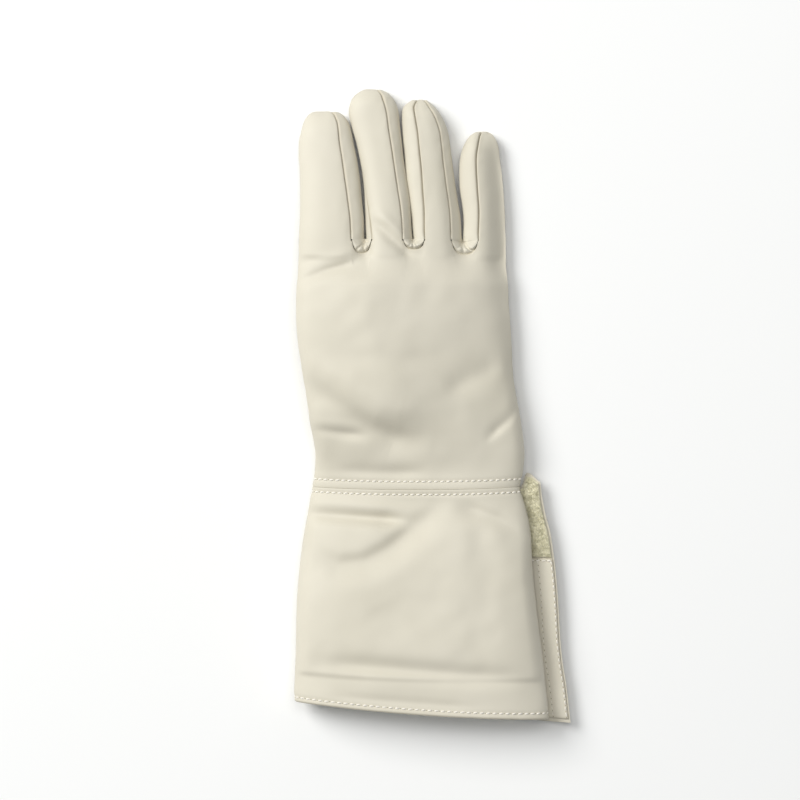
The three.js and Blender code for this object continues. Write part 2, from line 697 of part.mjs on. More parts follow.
// Closed solid through rings of points, with a flat cap on its first and its last ring.
function loftSolid(rings) {
  const count = rings[0].length;
  const positions = [];
  const faces = [];
  for (const ring of rings) for (const p of ring) positions.push(p.x, p.y, p.z);
  for (let r = 0; r + 1 < rings.length; r += 1) {
    for (let k = 0; k < count; k += 1) {
      const a = r * count + k;
      const b = r * count + ((k + 1) % count);
      faces.push(a, b + count, b, a, a + count, b + count);
    }
  }
  for (const [r, turned] of [[0, false], [rings.length - 1, true]]) {
    const centre = positions.length / 3;
    const middle = new THREE.Vector3();
    for (const p of rings[r]) middle.addScaledVector(p, 1 / count);
    positions.push(middle.x, middle.y, middle.z);
    for (let k = 0; k < count; k += 1) {
      const a = r * count + k;
      const b = r * count + ((k + 1) % count);
      if (turned) faces.push(b, a, centre);
      else faces.push(a, b, centre);
    }
  }
  const geometry = new THREE.BufferGeometry();
  geometry.setAttribute("position", new THREE.Float32BufferAttribute(positions, 3));
  geometry.setIndex(faces);
  return toSolid(geometry);
}

// Ring of the folded thumb at a share of its length, set in from the outer face.
function thumbRing(along, inset) {
  const centre = handWidth * curveAt(thumbSections, "centre", along);
  const halfWidth = (thumbWidth * curveAt(thumbSections, "width", along)) / 2 - inset;
  const halfHeight = (thumbThickness * curveAt(thumbSections, "height", along)) / 2;
  const tipStart = 1 - (thumbTipRounding * thumbThickness) / thumbLength;
  const past = Math.max((along - tipStart) / (1 - tipStart), 0);
  const rounded = halfHeight * Math.sqrt(1 - thumbTipFullness * past * past);
  const y = handLength * thumbStart + (thumbLength - inset) * along;
  const ring = [];
  for (let k = 0; k < thumbSides; k += 1) {
    const angle = 180 - (360 * (k + 0.5)) / thumbSides;
    const p = sectionPoint(angle, halfWidth, Math.max(rounded - inset, seamGap));
    ring.push(new THREE.Vector3(centre + p.x, y, Math.max(halfHeight - floorPress + p.z, inset)));
  }
  return ring;
}

// Underside of the palm at a place on the floor.
function palmUnder(x, y) {
  const along = y / handLength;
  const left = handWidth * curveAt(handSections, "left", along);
  const right = handWidth * curveAt(handSections, "right", along);
  const halfHeight = (handThickness * curveAt(handSections, "height", along)) / 2;
  const across = Math.min(Math.abs((2 * x - left - right) / (right - left)), 1);
  const drop = halfHeight * (1 - across ** bottomRoundness) ** (1 / bottomRoundness);
  return Math.max(halfHeight - floorPress - drop + liftAt(x, y), 0);
}

// Everything above the palm's underside round the thumb, less the gap that the thumb keeps to it.
function abovePalm() {
  const left = handWidth * thumbSections[0].centre - coverSpread * thumbWidth;
  const right = left + coverWidthShare * thumbWidth;
  const start = handLength * thumbStart - thumbThickness;
  const end = handLength * thumbStart + coverLengthShare * thumbLength;
  const rings = [];
  for (let r = 0; r <= coverRows; r += 1) {
    const y = mix(start, end, r / coverRows);
    const ring = [];
    for (let c = 0; c <= coverColumns; c += 1) {
      const x = mix(left, right, c / coverColumns);
      ring.push(new THREE.Vector3(x, y, palmUnder(x, y) - thumbClearance));
    }
    for (let c = coverColumns; c >= 0; c -= 1) {
      ring.push(new THREE.Vector3(mix(left, right, c / coverColumns), y, coverHeight));
    }
    rings.push(ring);
  }
  return loftSolid(rings);
}

// Thumb, cut off along the palm's underside at its root, and the hollow inside it.
const thumbHollow = loftSolid([thumbHollowStart, ...thumbRows].map((along) => thumbRing(along, thumbWall)));
const thumbTube = loftSolid(thumbRows.map((along) => thumbRing(along, 0))).subtract(thumbHollow);
const thumb = toGeometry(thumbTube.subtract(abovePalm()));

// Palm of the hand with the hole where the thumb is sewn on.
const palmSheet = combSheet("palm", palmRows, palmCounts, palmWall, 0);
const handPalm = toGeometry(toSolid(palmSheet).subtract(thumbHollow));

// Padded back of the hand, and the two strips that lie on the flap
const handBack = combSheet("back", handRows, backCounts, backWall, backPadding);
const slitFacing = flapStrip(facingStart, facingEnd, facingWidth, facingMargin, facingWall);
const loopStrip = flapStrip(tapeStart, tapeEnd, tapeWidth, tapeMargin, tapeThickness);

const [index, middle, ring, little] = fingers;
const pieces = [
  { name: "hand_back", geometry: handBack, look: leather },
  { name: "hand_palm", geometry: handPalm, look: leather },
  { name: "fourchette_index_right", geometry: fourchette(index, "Right"), look: leather },
  { name: "fourchette_middle_left", geometry: fourchette(middle, "Left"), look: leather },
  { name: "fourchette_middle_right", geometry: fourchette(middle, "Right"), look: leather },
  { name: "fourchette_ring_left", geometry: fourchette(ring, "Left"), look: leather },
  { name: "fourchette_ring_right", geometry: fourchette(ring, "Right"), look: leather },
  { name: "fourchette_little_left", geometry: fourchette(little, "Left"), look: leather },
  { name: "quirk_index_middle", geometry: quirk(index, middle), look: leather },
  { name: "quirk_middle_ring", geometry: quirk(middle, ring), look: leather },
  { name: "quirk_ring_little", geometry: quirk(ring, little), look: leather },
  { name: "thumb", geometry: thumb, look: leather },
  { name: "gauntlet_back", geometry: gauntletBack(), look: leather },
  { name: "gauntlet_palm", geometry: gauntletPalm(), look: leather },
  { name: "slit_facing", geometry: slitFacing, look: leather },
  { name: "loop_strip", geometry: loopStrip, look: tape },
  { name: "hook_strip", geometry: hookStrip(), look: tape },
];

const glove = new THREE.Group();
for (const { name, geometry, look } of pieces) {
  const mesh = new THREE.Mesh(geometry, new THREE.MeshStandardMaterial(look));
  mesh.name = name;
  glove.add(mesh);
}

// The origin is the middle of the glove's outline on the surface it lies on.
const bounds = new THREE.Box3().setFromObject(glove);
const middlePoint = bounds.getCenter(new THREE.Vector3());
glove.position.set(-middlePoint.x, -middlePoint.y, -bounds.min.z);

export default glove;
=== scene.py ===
"""Dresses the fencing glove: padded leather panels with their folds, seams and topstitching, the
gathered crotches between the fingers, the loop and hook strips, and the studio round them.
Shapes are worked out in millimetres from the middle of the wrist seam, +Y towards the fingers,
and angles round a section are degrees from straight up, positive towards the little finger."""

import bpy
import numpy as np
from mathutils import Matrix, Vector


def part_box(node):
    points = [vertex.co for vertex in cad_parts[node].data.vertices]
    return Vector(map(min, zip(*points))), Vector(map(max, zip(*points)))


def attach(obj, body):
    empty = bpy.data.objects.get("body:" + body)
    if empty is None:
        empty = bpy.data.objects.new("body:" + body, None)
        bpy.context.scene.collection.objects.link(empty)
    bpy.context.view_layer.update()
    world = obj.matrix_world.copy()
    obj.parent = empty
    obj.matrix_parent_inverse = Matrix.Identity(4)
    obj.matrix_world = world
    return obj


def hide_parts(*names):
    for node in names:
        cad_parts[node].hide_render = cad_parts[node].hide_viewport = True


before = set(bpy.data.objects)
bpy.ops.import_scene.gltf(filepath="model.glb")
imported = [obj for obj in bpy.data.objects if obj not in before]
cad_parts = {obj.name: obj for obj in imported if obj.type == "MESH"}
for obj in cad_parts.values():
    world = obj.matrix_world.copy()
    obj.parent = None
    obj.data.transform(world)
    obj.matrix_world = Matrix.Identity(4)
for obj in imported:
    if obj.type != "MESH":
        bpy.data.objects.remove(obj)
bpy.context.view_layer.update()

MM = 0.001
RADIANS = np.pi / 180

# Sizes of the glove
HAND_LENGTH = 142.6
HAND_WIDTH = 123.6
HAND_THICKNESS = 22
FINGER_THICKNESS = 17.5
THUMB_LENGTH = 94
THUMB_WIDTH = 40
THUMB_THICKNESS = 12.6
CUFF_LENGTH = 124
CUFF_SLANT = 10.5
HEM_BOW = 2.2
CUFF_MOUTH_WIDTH = 147.3
CUFF_MOUTH_HEIGHT = 32
MOUTH_LEFT_SHARE = 0.435
FLAP_REACH = 12
FLAP_HEIGHT = 6.5
FLAP_RISE = 8
FLAP_DROP = 2.4
FLAP_ROOT_ANGLE = 145
FLAP_CURL = 1.6
TAPE_LENGTH = 39
TAPE_WIDTH = 17
TAPE_THICKNESS = 1.6
FACING_WIDTH = 15
FACING_WALL = 1.2
BACK_WALL = 2.2
BACK_PADDING = 2
PALM_WALL = 1.8
STRIP_WALL = 1.4
THUMB_WALL = 1.6
CUFF_WALL = 2
CUFF_PADDING = 3.2
SOLID_GAP = 0.35
SEAM_GAP = 0.12
FLOOR_PRESS = 0.9
WRIST_BOW = 1.6
TOP_ROUNDNESS = 2.4
BOTTOM_ROUNDNESS = 3
OUTER_SEAM_ANGLE = 100

# Knuckles, by the distance behind the crotch line: the fingers' shapes last up to KNUCKLE_END, are
# evened out over the next KNUCKLE_SMOOTHING and have become the hand's at KNUCKLE_BLEND; the dips of
# the crotches last up to CROTCH_REACH. Evening out takes in EVEN_COLUMNS grid columns at a time, and
# begins between the two numbers of SIDE_COLUMNS in from the sides.
KNUCKLE_END = 8
KNUCKLE_SMOOTHING = 5
KNUCKLE_BLEND = 27
CROTCH_REACH = 45
EVEN_COLUMNS = 15
SIDE_COLUMNS = (8, 20)

# Hand sections from the wrist seam to the crotch line: edges are shares of HAND_WIDTH, heights of
# HAND_THICKNESS, pads of BACK_PADDING
HAND = {
    "along": [0, 0.07, 0.15, 0.27, 0.36, 0.47, 0.6, 0.75, 0.9, 1],
    "left": [-0.434, -0.421, -0.421, -0.446, -0.46, -0.481, -0.502, -0.509, -0.5, -0.498],
    "right": [0.537, 0.554, 0.559, 0.542, 0.523, 0.505, 0.498, 0.486, 0.479, 0.472],
    "height": [1.05, 1.02, 1, 1, 1, 1, 1, 0.98, 0.92, 0.86],
    "pad": [0, 0.3, 1, 1, 1, 1, 1, 1, 0.7, 0],
}

# How far the hand is raised over the folded thumb, along the hand and on into the fingers
LIFT = {
    "along": [0, 0.07, 0.2, 0.33, 0.76, 1, 1.2, 1.38, 1.54],
    "rise": [0, 0.08, 0.55, 1, 1, 0.84, 0.5, 0.18, 0],
}
LIFT_FROM, LIFT_REACH = -0.2, 0.52

# Fingers: seam angles (at the root, from mid length on) and sections from the crotch to the tip
FINGERS = [
    {
        "name": "index",
        "length": 75,
        "backLeft": (-100, -100),
        "backRight": (36, 28),
        "palmRight": (132, 132),
        "palmLeft": (-100, -100),
        "along": [0, 0.25, 0.5, 0.75, 0.9, 0.97, 1],
        "left": [-0.498, -0.491, -0.493, -0.498, -0.479, -0.456, -0.43],
        "right": [-0.192, -0.2, -0.215, -0.243, -0.262, -0.289, -0.322],
        "height": [1.06, 1.02, 0.98, 0.94, 0.9, 0.86, 0.84],
    },
    {
        "name": "middle",
        "length": 88,
        "backLeft": (-50, -88),
        "backRight": (33, 29),
        "palmRight": (138, 138),
        "palmLeft": (-138, -138),
        "along": [0, 0.2, 0.4, 0.6, 0.75, 0.85, 0.93, 0.975, 1],
        "left": [-0.18, -0.185, -0.196, -0.222, -0.25, -0.263, -0.25, -0.217, -0.189],
        "right": [0.036, 0.027, 0.007, -0.011, -0.024, -0.033, -0.056, -0.084, -0.117],
        "height": [1.06, 1.04, 1, 0.98, 0.94, 0.92, 0.9, 0.86, 0.84],
    },
    {
        "name": "ring",
        "length": 82,
        "backLeft": (-30, -16),
        "backRight": (31, 38),
        "palmRight": (136, 136),
        "palmLeft": (-132, -132),
        "along": [0, 0.2, 0.4, 0.6, 0.77, 0.87, 0.95, 1],
        "left": [0.039, 0.03, 0.01, -0.004, -0.014, -0.017, -0.007, 0.037],
        "right": [0.267, 0.257, 0.234, 0.215, 0.201, 0.175, 0.138, 0.098],
        "height": [1.06, 1.02, 0.98, 0.94, 0.92, 0.9, 0.86, 0.84],
    },
    {
        "name": "little",
        "length": 63.5,
        "backLeft": (-14, -8),
        "backRight": (100, 100),
        "palmRight": (100, 100),
        "palmLeft": (-128, -124),
        "along": [0, 0.25, 0.5, 0.75, 0.88, 0.96, 1],
        "left": [0.271, 0.272, 0.255, 0.257, 0.278, 0.306, 0.339],
        "right": [0.472, 0.467, 0.459, 0.444, 0.435, 0.414, 0.388],
        "height": [1, 0.98, 0.94, 0.9, 0.86, 0.82, 0.8],
    },
]
SEAM_SETTLE = 0.55
TIP_ROUNDING = 0.62
TIP_DROP = 0.12

# Gauntlet sections from the wrist seam to the hem, with the padding's crisp end above the hem
CUFF = {
    "along": [0, 0.045, 0.12, 0.2, 0.35, 0.5, 0.65, 0.76, 0.83, 1],
    "leftFlare": [0, 0.08, 0.23, 0.41, 0.68, 0.83, 0.87, 0.91, 0.94, 1],
    "rightFlare": [0, 0.1, 0.27, 0.38, 0.45, 0.55, 0.69, 0.8, 0.87, 1],
    "rise": [0, 0.02, 0.12, 0.26, 0.46, 0.63, 0.78, 0.87, 0.92, 1],
    "flap": [1, 0.95, 0.88, 0.96, 1.1, 1.1, 1, 0.98, 1.02, 1.06],
    "slitAngle": [97, 97, 98, 99, 101, 103, 105, 106, 107, 108],
}
CUFF_PAD = {
    "along": [0, 0.03, 0.06, 0.12, 0.2, 0.35, 0.6, 0.76, 0.8, 0.82, 0.835, 0.85, 1],
    "pad": [0.12, 0.1, 0.12, 0.42, 0.8, 1, 1, 0.8, 0.66, 0.5, 0.12, 0.02, 0],
}
PAD_END_SLANT = 0.036
FLAP_CORNER = 0.045
TAPE_START = 0.01
TAPE_END = TAPE_START + TAPE_LENGTH / (CUFF_LENGTH + CUFF_SLANT)
FACING_START = TAPE_END + 0.004
FACING_END = 0.985
HOOK_ANGLES = (55, 92)

# Folded thumb: centre is a share of HAND_WIDTH, width and height of its own sizes
THUMB_START = 0.11
THUMB_TIP_ROUNDING = 0.6
THUMB_TIP_FALL = 0.9
THUMB = {
    "along": [0, 0.25, 0.5, 0.75, 0.9, 0.97, 1],
    "centre": [-0.222, -0.222, -0.215, -0.19, -0.175, -0.168, -0.165],
    "width": [1, 0.98, 0.86, 0.76, 0.66, 0.5, 0.3],
    "height": [1, 1, 1, 0.98, 0.94, 0.9, 0.88],
}

# Folds of the padded backs: the line each follows, how wide and deep its valley is, how high a
# roll stands beside it (left of the line's direction) and how much steeper that side is
FOLDS = [
    {"line": [(-66, 116), (-45, 124.5), (-24, 130.5)], "width": 3.2, "depth": 2, "roll": 0.8, "steep": 0.3},
    {"line": [(-72, 66), (-46, 51), (-32, 41), (-20, 33.5), (-7, 28), (16, 23)],
     "width": 8, "depth": 4.6, "roll": 1.2, "steep": 0.25},
    {"line": [(-72, 33.5), (-46, 32.5), (-20, 29)], "width": 2.6, "depth": 1.7, "roll": 0.5, "steep": 0.2},
    {"line": [(76, 59), (60, 39), (44, 25)], "width": 2.8, "depth": 1.9, "roll": 0.2, "steep": 0.3},
    {"line": [(58, 72), (40, 64), (21, 55)], "width": 6, "depth": 1.6, "roll": 0.4, "steep": 0.1},
    {"line": [(-56, 74), (-10, 74.5), (36, 73)], "width": 6, "depth": 0.6, "roll": 0, "steep": 0},
    {"line": [(-22, 156), (-12, 147.5), (-6, 141.5), (6, 131)],
     "width": 3, "depth": 1.8, "roll": 1.2, "steep": 0},
    {"line": [(-46, 10.5), (-15, 8.5), (16, 8.5)], "width": 3.5, "depth": 1, "roll": 0.1, "steep": 0},
    {"line": [(-72, -14.5), (-32, -17.3), (8, -20.3)], "width": 3.7, "depth": 4, "roll": 0.8, "steep": 0},
    {"line": [(24, -8), (6, -24), (-9, -36), (-23, -43.5), (-38, -45), (-56, -36)],
     "width": 6.5, "depth": 3, "roll": 0.3, "steep": -0.3},
    {"line": [(26, -9), (53, -19), (82, -35)], "width": 5, "depth": 2.8, "roll": 0.4, "steep": 0.2},
    {"line": [(40, -14), (50, -62)], "width": 8, "depth": 1, "roll": 0, "steep": 0},
    {"line": [(84, -110), (36, -108), (0, -105), (-30, -102.5), (-66, -101)],
     "width": 5, "depth": 3, "roll": 0.3, "steep": 0.1},
    {"line": [(-50, -120), (0, -124), (50, -128)], "width": 3, "depth": 0.9, "roll": 0, "steep": 0},
    {"line": [(44, 230), (51, 206), (55, 190), (57, 172), (57.8, 150), (59.5, 128), (61, 106), (64, 84),
              (76, 30)], "width": 8, "depth": 8, "roll": 0, "steep": 0},
    {"line": [(62, 160), (66, 110), (70, 40)], "width": 20, "depth": 2, "roll": 0, "steep": 0},
    {"line": [(70, 20), (74, -20), (80, -60), (86, -100), (92, -150)],
     "width": 20, "depth": 3, "roll": 0, "steep": 0},
    {"line": [(36, 118), (32.5, 150), (30.5, 170), (27, 192), (21, 224)],
     "width": 7, "depth": 2.6, "roll": 0, "steep": 0},
]

# Stitch rows: distance from the seam or edge that each follows, along the glove
WRIST_ROW_ABOVE = 4.6
WRIST_ROW_BELOW = 2.7
HEM_ROW_IN = (2.6, 4.2)
STITCH_PITCH = 3.5
HEM_PITCH = 3.7

# Share of the rounding and of the painted seam shade that a panel's edge keeps in the wrist seam
WRIST_EDGE_SHARE = 0.14

# Colours as they look in the light of the photograph, the two ends of each material's range
LEATHER_COLOURS = ("#d3cdbb", "#dad4c3")
# Painted shade: the colour the leather darkens to towards its seams and edges
LEATHER_SEAM_SHADE_COLOUR = "#b0a68d"
THREAD_COLOURS = ("#ece6d8", "#fbf7ee")
# Painted shade of the needle holes
HOLE_SHADE_COLOURS = ("#8d8468", "#a89f84")
LOOP_COLOURS = ("#c9c4a4", "#ece7cc")
TAPE_COLOURS = ("#b3af90", "#c4c09f")
FLOOR_COLOUR = "#f8f8f6"
SKY_COLOUR = "#f4f8fc"

# Cells of each panel's grid, along and across
STRIP_CELLS = (90, 26)
CUFF_BACK_CELLS = (112, 150)
CUFF_UNDER_ROWS = 70
CUFF_UNDER_COLUMNS = 60
FLAP_COLUMNS = 30
FLAP_STRIP_COLUMNS = 24
HOOK_CELLS = (30, 12)
THUMB_ROWS = 80
THUMB_SIDES = 72
KNOT_ROWS = 60
KNOT_COLUMNS = 56


def curve_at(table, column, along):
    """Smooth (Hermite) curve through one named column of a table, read at places along it."""
    place_of, value = np.array(table["along"], float), np.array(table[column], float)
    last = len(place_of) - 1
    place = np.clip(along, place_of[0], place_of[-1])
    i = np.clip(np.searchsorted(place_of, place, side="left") - 1, 0, last - 1)
    before = np.maximum(np.arange(last + 1) - 1, 0)
    after = np.minimum(np.arange(last + 1) + 1, last)
    slope = (value[after] - value[before]) / (place_of[after] - place_of[before])
    span = place_of[i + 1] - place_of[i]
    t = (place - place_of[i]) / span
    rise = value[i + 1] - value[i]
    pull = (slope[i] * span - rise) * (1 - t) - (slope[i + 1] * span - rise) * t
    return value[i] + rise * t + t * (1 - t) * pull


def soft_step(low, high, value):
    """3s^2 - 2s^3 with s the share of the way from low to high."""
    share = np.clip((value - low) / (high - low), 0, 1)
    return share * share * (3 - 2 * share)


def mix(start, end, share):
    """start + (end - start) share."""
    return start + (end - start) * share


def graded(count, ease=0.6):
    """Shares 0 to 1, closer together at both ends: t - ease sin(2 pi t) / 2 pi."""
    t = np.linspace(0, 1, count + 1)
    return t - ease * np.sin(2 * np.pi * t) / (2 * np.pi)


def points(x, y, z):
    """Grid of points from three grids of numbers."""
    return np.stack(np.broadcast_arrays(x, y, z), axis=-1).astype(float)


def value_noise(x, y, cell_x, cell_y, seed):
    """Smooth noise from about -1 to 1: random values on two turned lattices, blended with soft
    steps and added."""
    table = np.random.default_rng(seed).uniform(-1, 1, (64, 64))
    total = 0
    for turn in (0.5, 1.4):
        s, c = np.sin(turn), np.cos(turn)
        u, v = (c * x + s * y) / cell_x + 31.7, (c * y - s * x) / cell_y + 17.3
        iu, iv = np.floor(u).astype(int), np.floor(v).astype(int)
        fu, fv = soft_step(0, 1, u - iu), soft_step(0, 1, v - iv)
        corner = [[table[(iv + b) % 64, (iu + a) % 64] for a in (0, 1)] for b in (0, 1)]
        total = total + mix(mix(corner[0][0], corner[0][1], fu), mix(corner[1][0], corner[1][1], fu), fv)
    return 0.7 * total


def section_point(angle, half_width, half_height):
    """x = a sin^(2/n), z = b cos^(2/n) at an angle from straight up, signs kept."""
    power = 2 / np.where(np.abs(angle) <= 90, TOP_ROUNDNESS, BOTTOM_ROUNDNESS)
    s, c = np.sin(angle * RADIANS), np.cos(angle * RADIANS)
    return half_width * np.sign(s) * np.abs(s) ** power, half_height * np.sign(c) * np.abs(c) ** power


def lift_at(x, y):
    """Height that the folded thumb gives the glove at a place on the floor."""
    across = 1 - soft_step(LIFT_FROM * HAND_WIDTH, LIFT_REACH * HAND_WIDTH, x)
    return (THUMB_THICKNESS + 2 * SOLID_GAP) * curve_at(LIFT, "rise", y / HAND_LENGTH) * across


def fold_depth(x, y):
    """Sum over the folds of depth exp(-(d/w)^2) less its roll, with d the distance to the line;
    each fades out towards its ends."""
    total = np.zeros(np.broadcast(x, y).shape)
    for fold in FOLDS:
        line = np.array(fold["line"], float)
        lengths = np.hypot(*np.diff(line, axis=0).T)
        best = np.full(total.shape, 1e9)
        beside, place = np.zeros(total.shape), np.zeros(total.shape)
        for k, (a, b) in enumerate(zip(line[:-1], line[1:])):
            d = (b - a) / lengths[k]
            reach = (x - a[0]) * d[0] + (y - a[1]) * d[1]
            on = np.clip(reach, 0, lengths[k])
            ox, oy = x - a[0] - on * d[0], y - a[1] - on * d[1]
            away, across = np.hypot(ox, oy), d[0] * oy - d[1] * ox
            past_end = ((k == 0) & (reach < 0)) | ((k == len(lengths) - 1) & (reach > lengths[k]))
            nearer = away < best
            best = np.where(nearer, away, best)
            beside = np.where(nearer, np.where(past_end, across, np.sign(across) * away), beside)
            place = np.where(nearer, (lengths[:k].sum() + on) / lengths.sum(), place)
        width = fold["width"] * (1 - fold["steep"] * np.tanh(beside / fold["width"]))
        fade = 1 - soft_step(0.45, 1, np.abs(2 * place - 1))
        beyond = np.sqrt(np.maximum(best**2 - beside**2, 0))
        roll = fold["roll"] * np.exp(-((beside - 2 * fold["width"]) / (0.9 * fold["width"])) ** 2
                                     - (beyond / fold["width"]) ** 2)
        total += fade * (fold["depth"] * np.exp(-((best / width) ** 2)) - roll)
    return total


def height_share(angle):
    """Share of a section's half height at an angle: cos^(2/n), 0 below the middle."""
    return np.maximum(np.cos(angle * RADIANS), 0) ** (2 / TOP_ROUNDNESS)


def folded(grid, share):
    """Grid of points with a share of the folds' depth pressed in."""
    lower = share * fold_depth(grid[..., 0], grid[..., 1])
    return grid - lower[..., None] * np.array([0, 0, 1])


def top_cover(angle):
    """1 over the top, 0 at the sides."""
    return soft_step(88, 60, np.abs(angle))


def bow_at(angle, along):
    """How far the wrist seam bows towards the cuff over the top."""
    return WRIST_BOW * soft_step(0.2, 0, along) * soft_step(90, 0, np.abs(angle))


def section_size(table, thickness, along):
    """Side edges and half height of the hand or a finger at shares of its length."""
    left, right = (HAND_WIDTH * curve_at(table, side, along) for side in ("left", "right"))
    return left, right, thickness * curve_at(table, "height", along) / 2


def hand_point(angle, y, inset, padding):
    """Points of the hand at angles and places along it, set in from the outer face."""
    along = y / HAND_LENGTH
    left, right, half = section_size(HAND, HAND_THICKNESS, along)
    px, pz = section_point(angle, (right - left) / 2 - inset, half - inset)
    x = (left + right) / 2 + px
    raised = top_cover(angle) * padding * curve_at(HAND, "pad", along)
    z = np.maximum(half - FLOOR_PRESS + pz + lift_at(x, y), np.maximum(inset, 0))
    return points(x, y - bow_at(angle, along), z + raised)


def finger_point(finger, angle, along, inset):
    """Points of a finger at angles and shares of its length; the tip is rounded off."""
    left, right, half = section_size(finger, FINGER_THICKNESS, along)
    tip_start = 1 - TIP_ROUNDING * FINGER_THICKNESS / finger["length"]
    past = np.maximum((along - tip_start) / (1 - tip_start), 0)
    rounded = half * np.sqrt(np.maximum(1 - past * past, 0))
    y = HAND_LENGTH + (finger["length"] - inset) * along
    px, pz = section_point(angle, (right - left) / 2 - inset, np.maximum(rounded - inset, SEAM_GAP / 2))
    x = (left + right) / 2 + px
    z = np.maximum(half - FLOOR_PRESS - TIP_DROP * half * past + pz + lift_at(x, y), np.maximum(inset, 0))
    return points(x, y, z)


def seam_angle(finger, seam, along):
    """Angle of a finger's seam, which turns from its root angle to its settled one."""
    root, settled = finger[seam]
    return mix(root, settled, soft_step(0, SEAM_SETTLE, along))


def half_gap_angle(finger, angle, along):
    """Degrees round a finger that make up half a seam's gap."""
    step = 2
    a, b = finger_point(finger, angle - step, along, 0), finger_point(finger, angle + step, along, 0)
    return step * SEAM_GAP / np.maximum(np.linalg.norm(b - a, axis=-1), SEAM_GAP / 2)


def turn_angle(side, angle):
    """Angle from straight up of an angle measured from the panel's own middle line, or back."""
    if side == "back":
        return angle
    return np.where(angle < 0, -1, 1) * (180 - np.abs(angle))


def panel_angle(side, finger, share, along):
    """Angle from the panel's middle line at shares across a finger's back or palm."""
    left, right = seam_angle(finger, side + "Left", along), seam_angle(finger, side + "Right", along)
    start = turn_angle(side, left) + half_gap_angle(finger, left, along)
    end = turn_angle(side, right) - half_gap_angle(finger, right, along)
    return mix(start, end, share)


def crotch_dip(share, depth):
    """U-shaped dip of the crotch line between two fingers: depth (1 - |2s - 1|^2.6)^0.65."""
    return depth * np.maximum(1 - np.abs(2 * share - 1) ** 2.6, 0) ** 0.65


def crotch_sag(gap, share):
    """Height of the back's crotch line over a straight one: a Hermite curve that carries on the round
    tops of the two fingers, less the straight line."""
    ends, slopes = [], []
    for finger, seam in ((FINGERS[gap - 1], "backRight"), (FINGERS[gap], "backLeft")):
        angle = finger[seam][0]
        end, inward = finger_point(finger, angle, 0.0, 0.0), finger_point(finger, 0.97 * angle, 0.0, 0.0)
        ends.append(end)
        slopes.append((end[2] - inward[2]) / (end[0] - inward[0]))
    rest = 1 - share
    pull = slopes[0] * share * rest * rest - slopes[1] * share * share * rest
    return (ends[1][0] - ends[0][0]) * pull + (ends[1][2] - ends[0][2]) * (soft_step(0, 1, share) - share)


def comb_columns(counts, between):
    """Columns of the four fingers and of the gaps: for each in turn the finger's number or None, the
    gap's number or None, the shares across it and the columns' place in the grid."""
    groups, start = [], 0
    for f, count in enumerate(counts):
        gap_shares = np.linspace(0, 1, between + 1)[1:-1]
        for finger, gap, share in ((None, f, gap_shares), (f, None, graded(count))):
            if gap != 0:
                groups.append((finger, gap, share, slice(start, start + len(share))))
                start += len(share)
    return groups


def root_points(side, groups, insets, depth):
    """Points of all columns on the crotch line, insets an array with a value for each column."""
    out = np.zeros(insets.shape + (3,))
    for f, gap, share, span in groups:
        edge = insets[..., span]
        if f is not None:
            angle = turn_angle(side, panel_angle(side, FINGERS[f], share, 0.0))
            out[..., span, :] = finger_point(FINGERS[f], angle, 0.0, edge)
            continue
        ends = []
        for g, end_share in ((gap - 1, 1.0), (gap, 0.0)):
            angle = turn_angle(side, panel_angle(side, FINGERS[g], end_share, 0.0))
            ends.append(finger_point(FINGERS[g], angle, 0.0, edge))
        out[..., span, :] = mix(ends[0], ends[1], share[:, None])
        out[..., span, 1] -= crotch_dip(share, depth[gap - 1])
        if side == "back":
            out[..., span, 2] += crotch_sag(gap, share)
    return out


def hand_angles(side, groups, depth):
    """Angles at which the columns run along the hand to meet their places on the crotch line."""
    roundness = TOP_ROUNDNESS if side == "back" else BOTTOM_ROUNDNESS
    left, right = HAND["left"][-1], HAND["right"][-1]

    def angle_across(x):
        share = np.clip((2 * x / HAND_WIDTH - left - right) / (right - left), -1, 1)
        return np.arcsin(np.sign(share) * np.abs(share) ** (roundness / 2)) / RADIANS

    own = angle_across(root_points(side, groups, np.zeros(groups[-1][3].stop), depth)[:, 0])
    for f, outward, (_, _, share, span) in ((0, -1, groups[0]), (len(FINGERS) - 1, 1, groups[-1])):
        local = panel_angle(side, FINGERS[f], share, 0.0)
        edge = panel_angle(side, FINGERS[f], 0.0 if f == 0 else 1.0, 0.0)
        middle = angle_across(finger_point(FINGERS[f], turn_angle(side, np.array(0.0)), 0.0, 0)[0])
        own[span] = np.where(local * outward > 0, mix(middle, edge, local / edge), own[span])
    return turn_angle(side, own)


def edge_distance(grid, mask, reach):
    """Distance from each point of a grid to the nearest border of its masked cells, up to reach."""
    padded = np.pad(mask, 1)
    inner = padded[:-1, :-1] & padded[1:, :-1] & padded[:-1, 1:] & padded[1:, 1:]
    outer = padded[:-1, :-1] | padded[1:, :-1] | padded[:-1, 1:] | padded[1:, 1:]
    border = grid[outer & ~inner]
    distance = np.full(grid.shape[:2], float(reach))
    flat = grid[inner]
    found = np.empty(len(flat))
    at_a_time = 2000
    for start in range(0, len(flat), at_a_time):
        part = slice(start, start + at_a_time)
        found[part] = np.sqrt(((flat[part, None, :] - border[None, :, :]) ** 2).sum(axis=2).min(axis=1))
    distance[inner] = np.minimum(found, reach)
    distance[outer & ~inner] = 0
    return distance


def rounded_edge(distance, radius):
    """Inset of a panel's face near its edge, r - sqrt(r^2 - (r - d)^2), a quarter circle."""
    short = np.clip(radius - distance, 0, radius)
    return radius - np.sqrt(radius * radius - short * short)


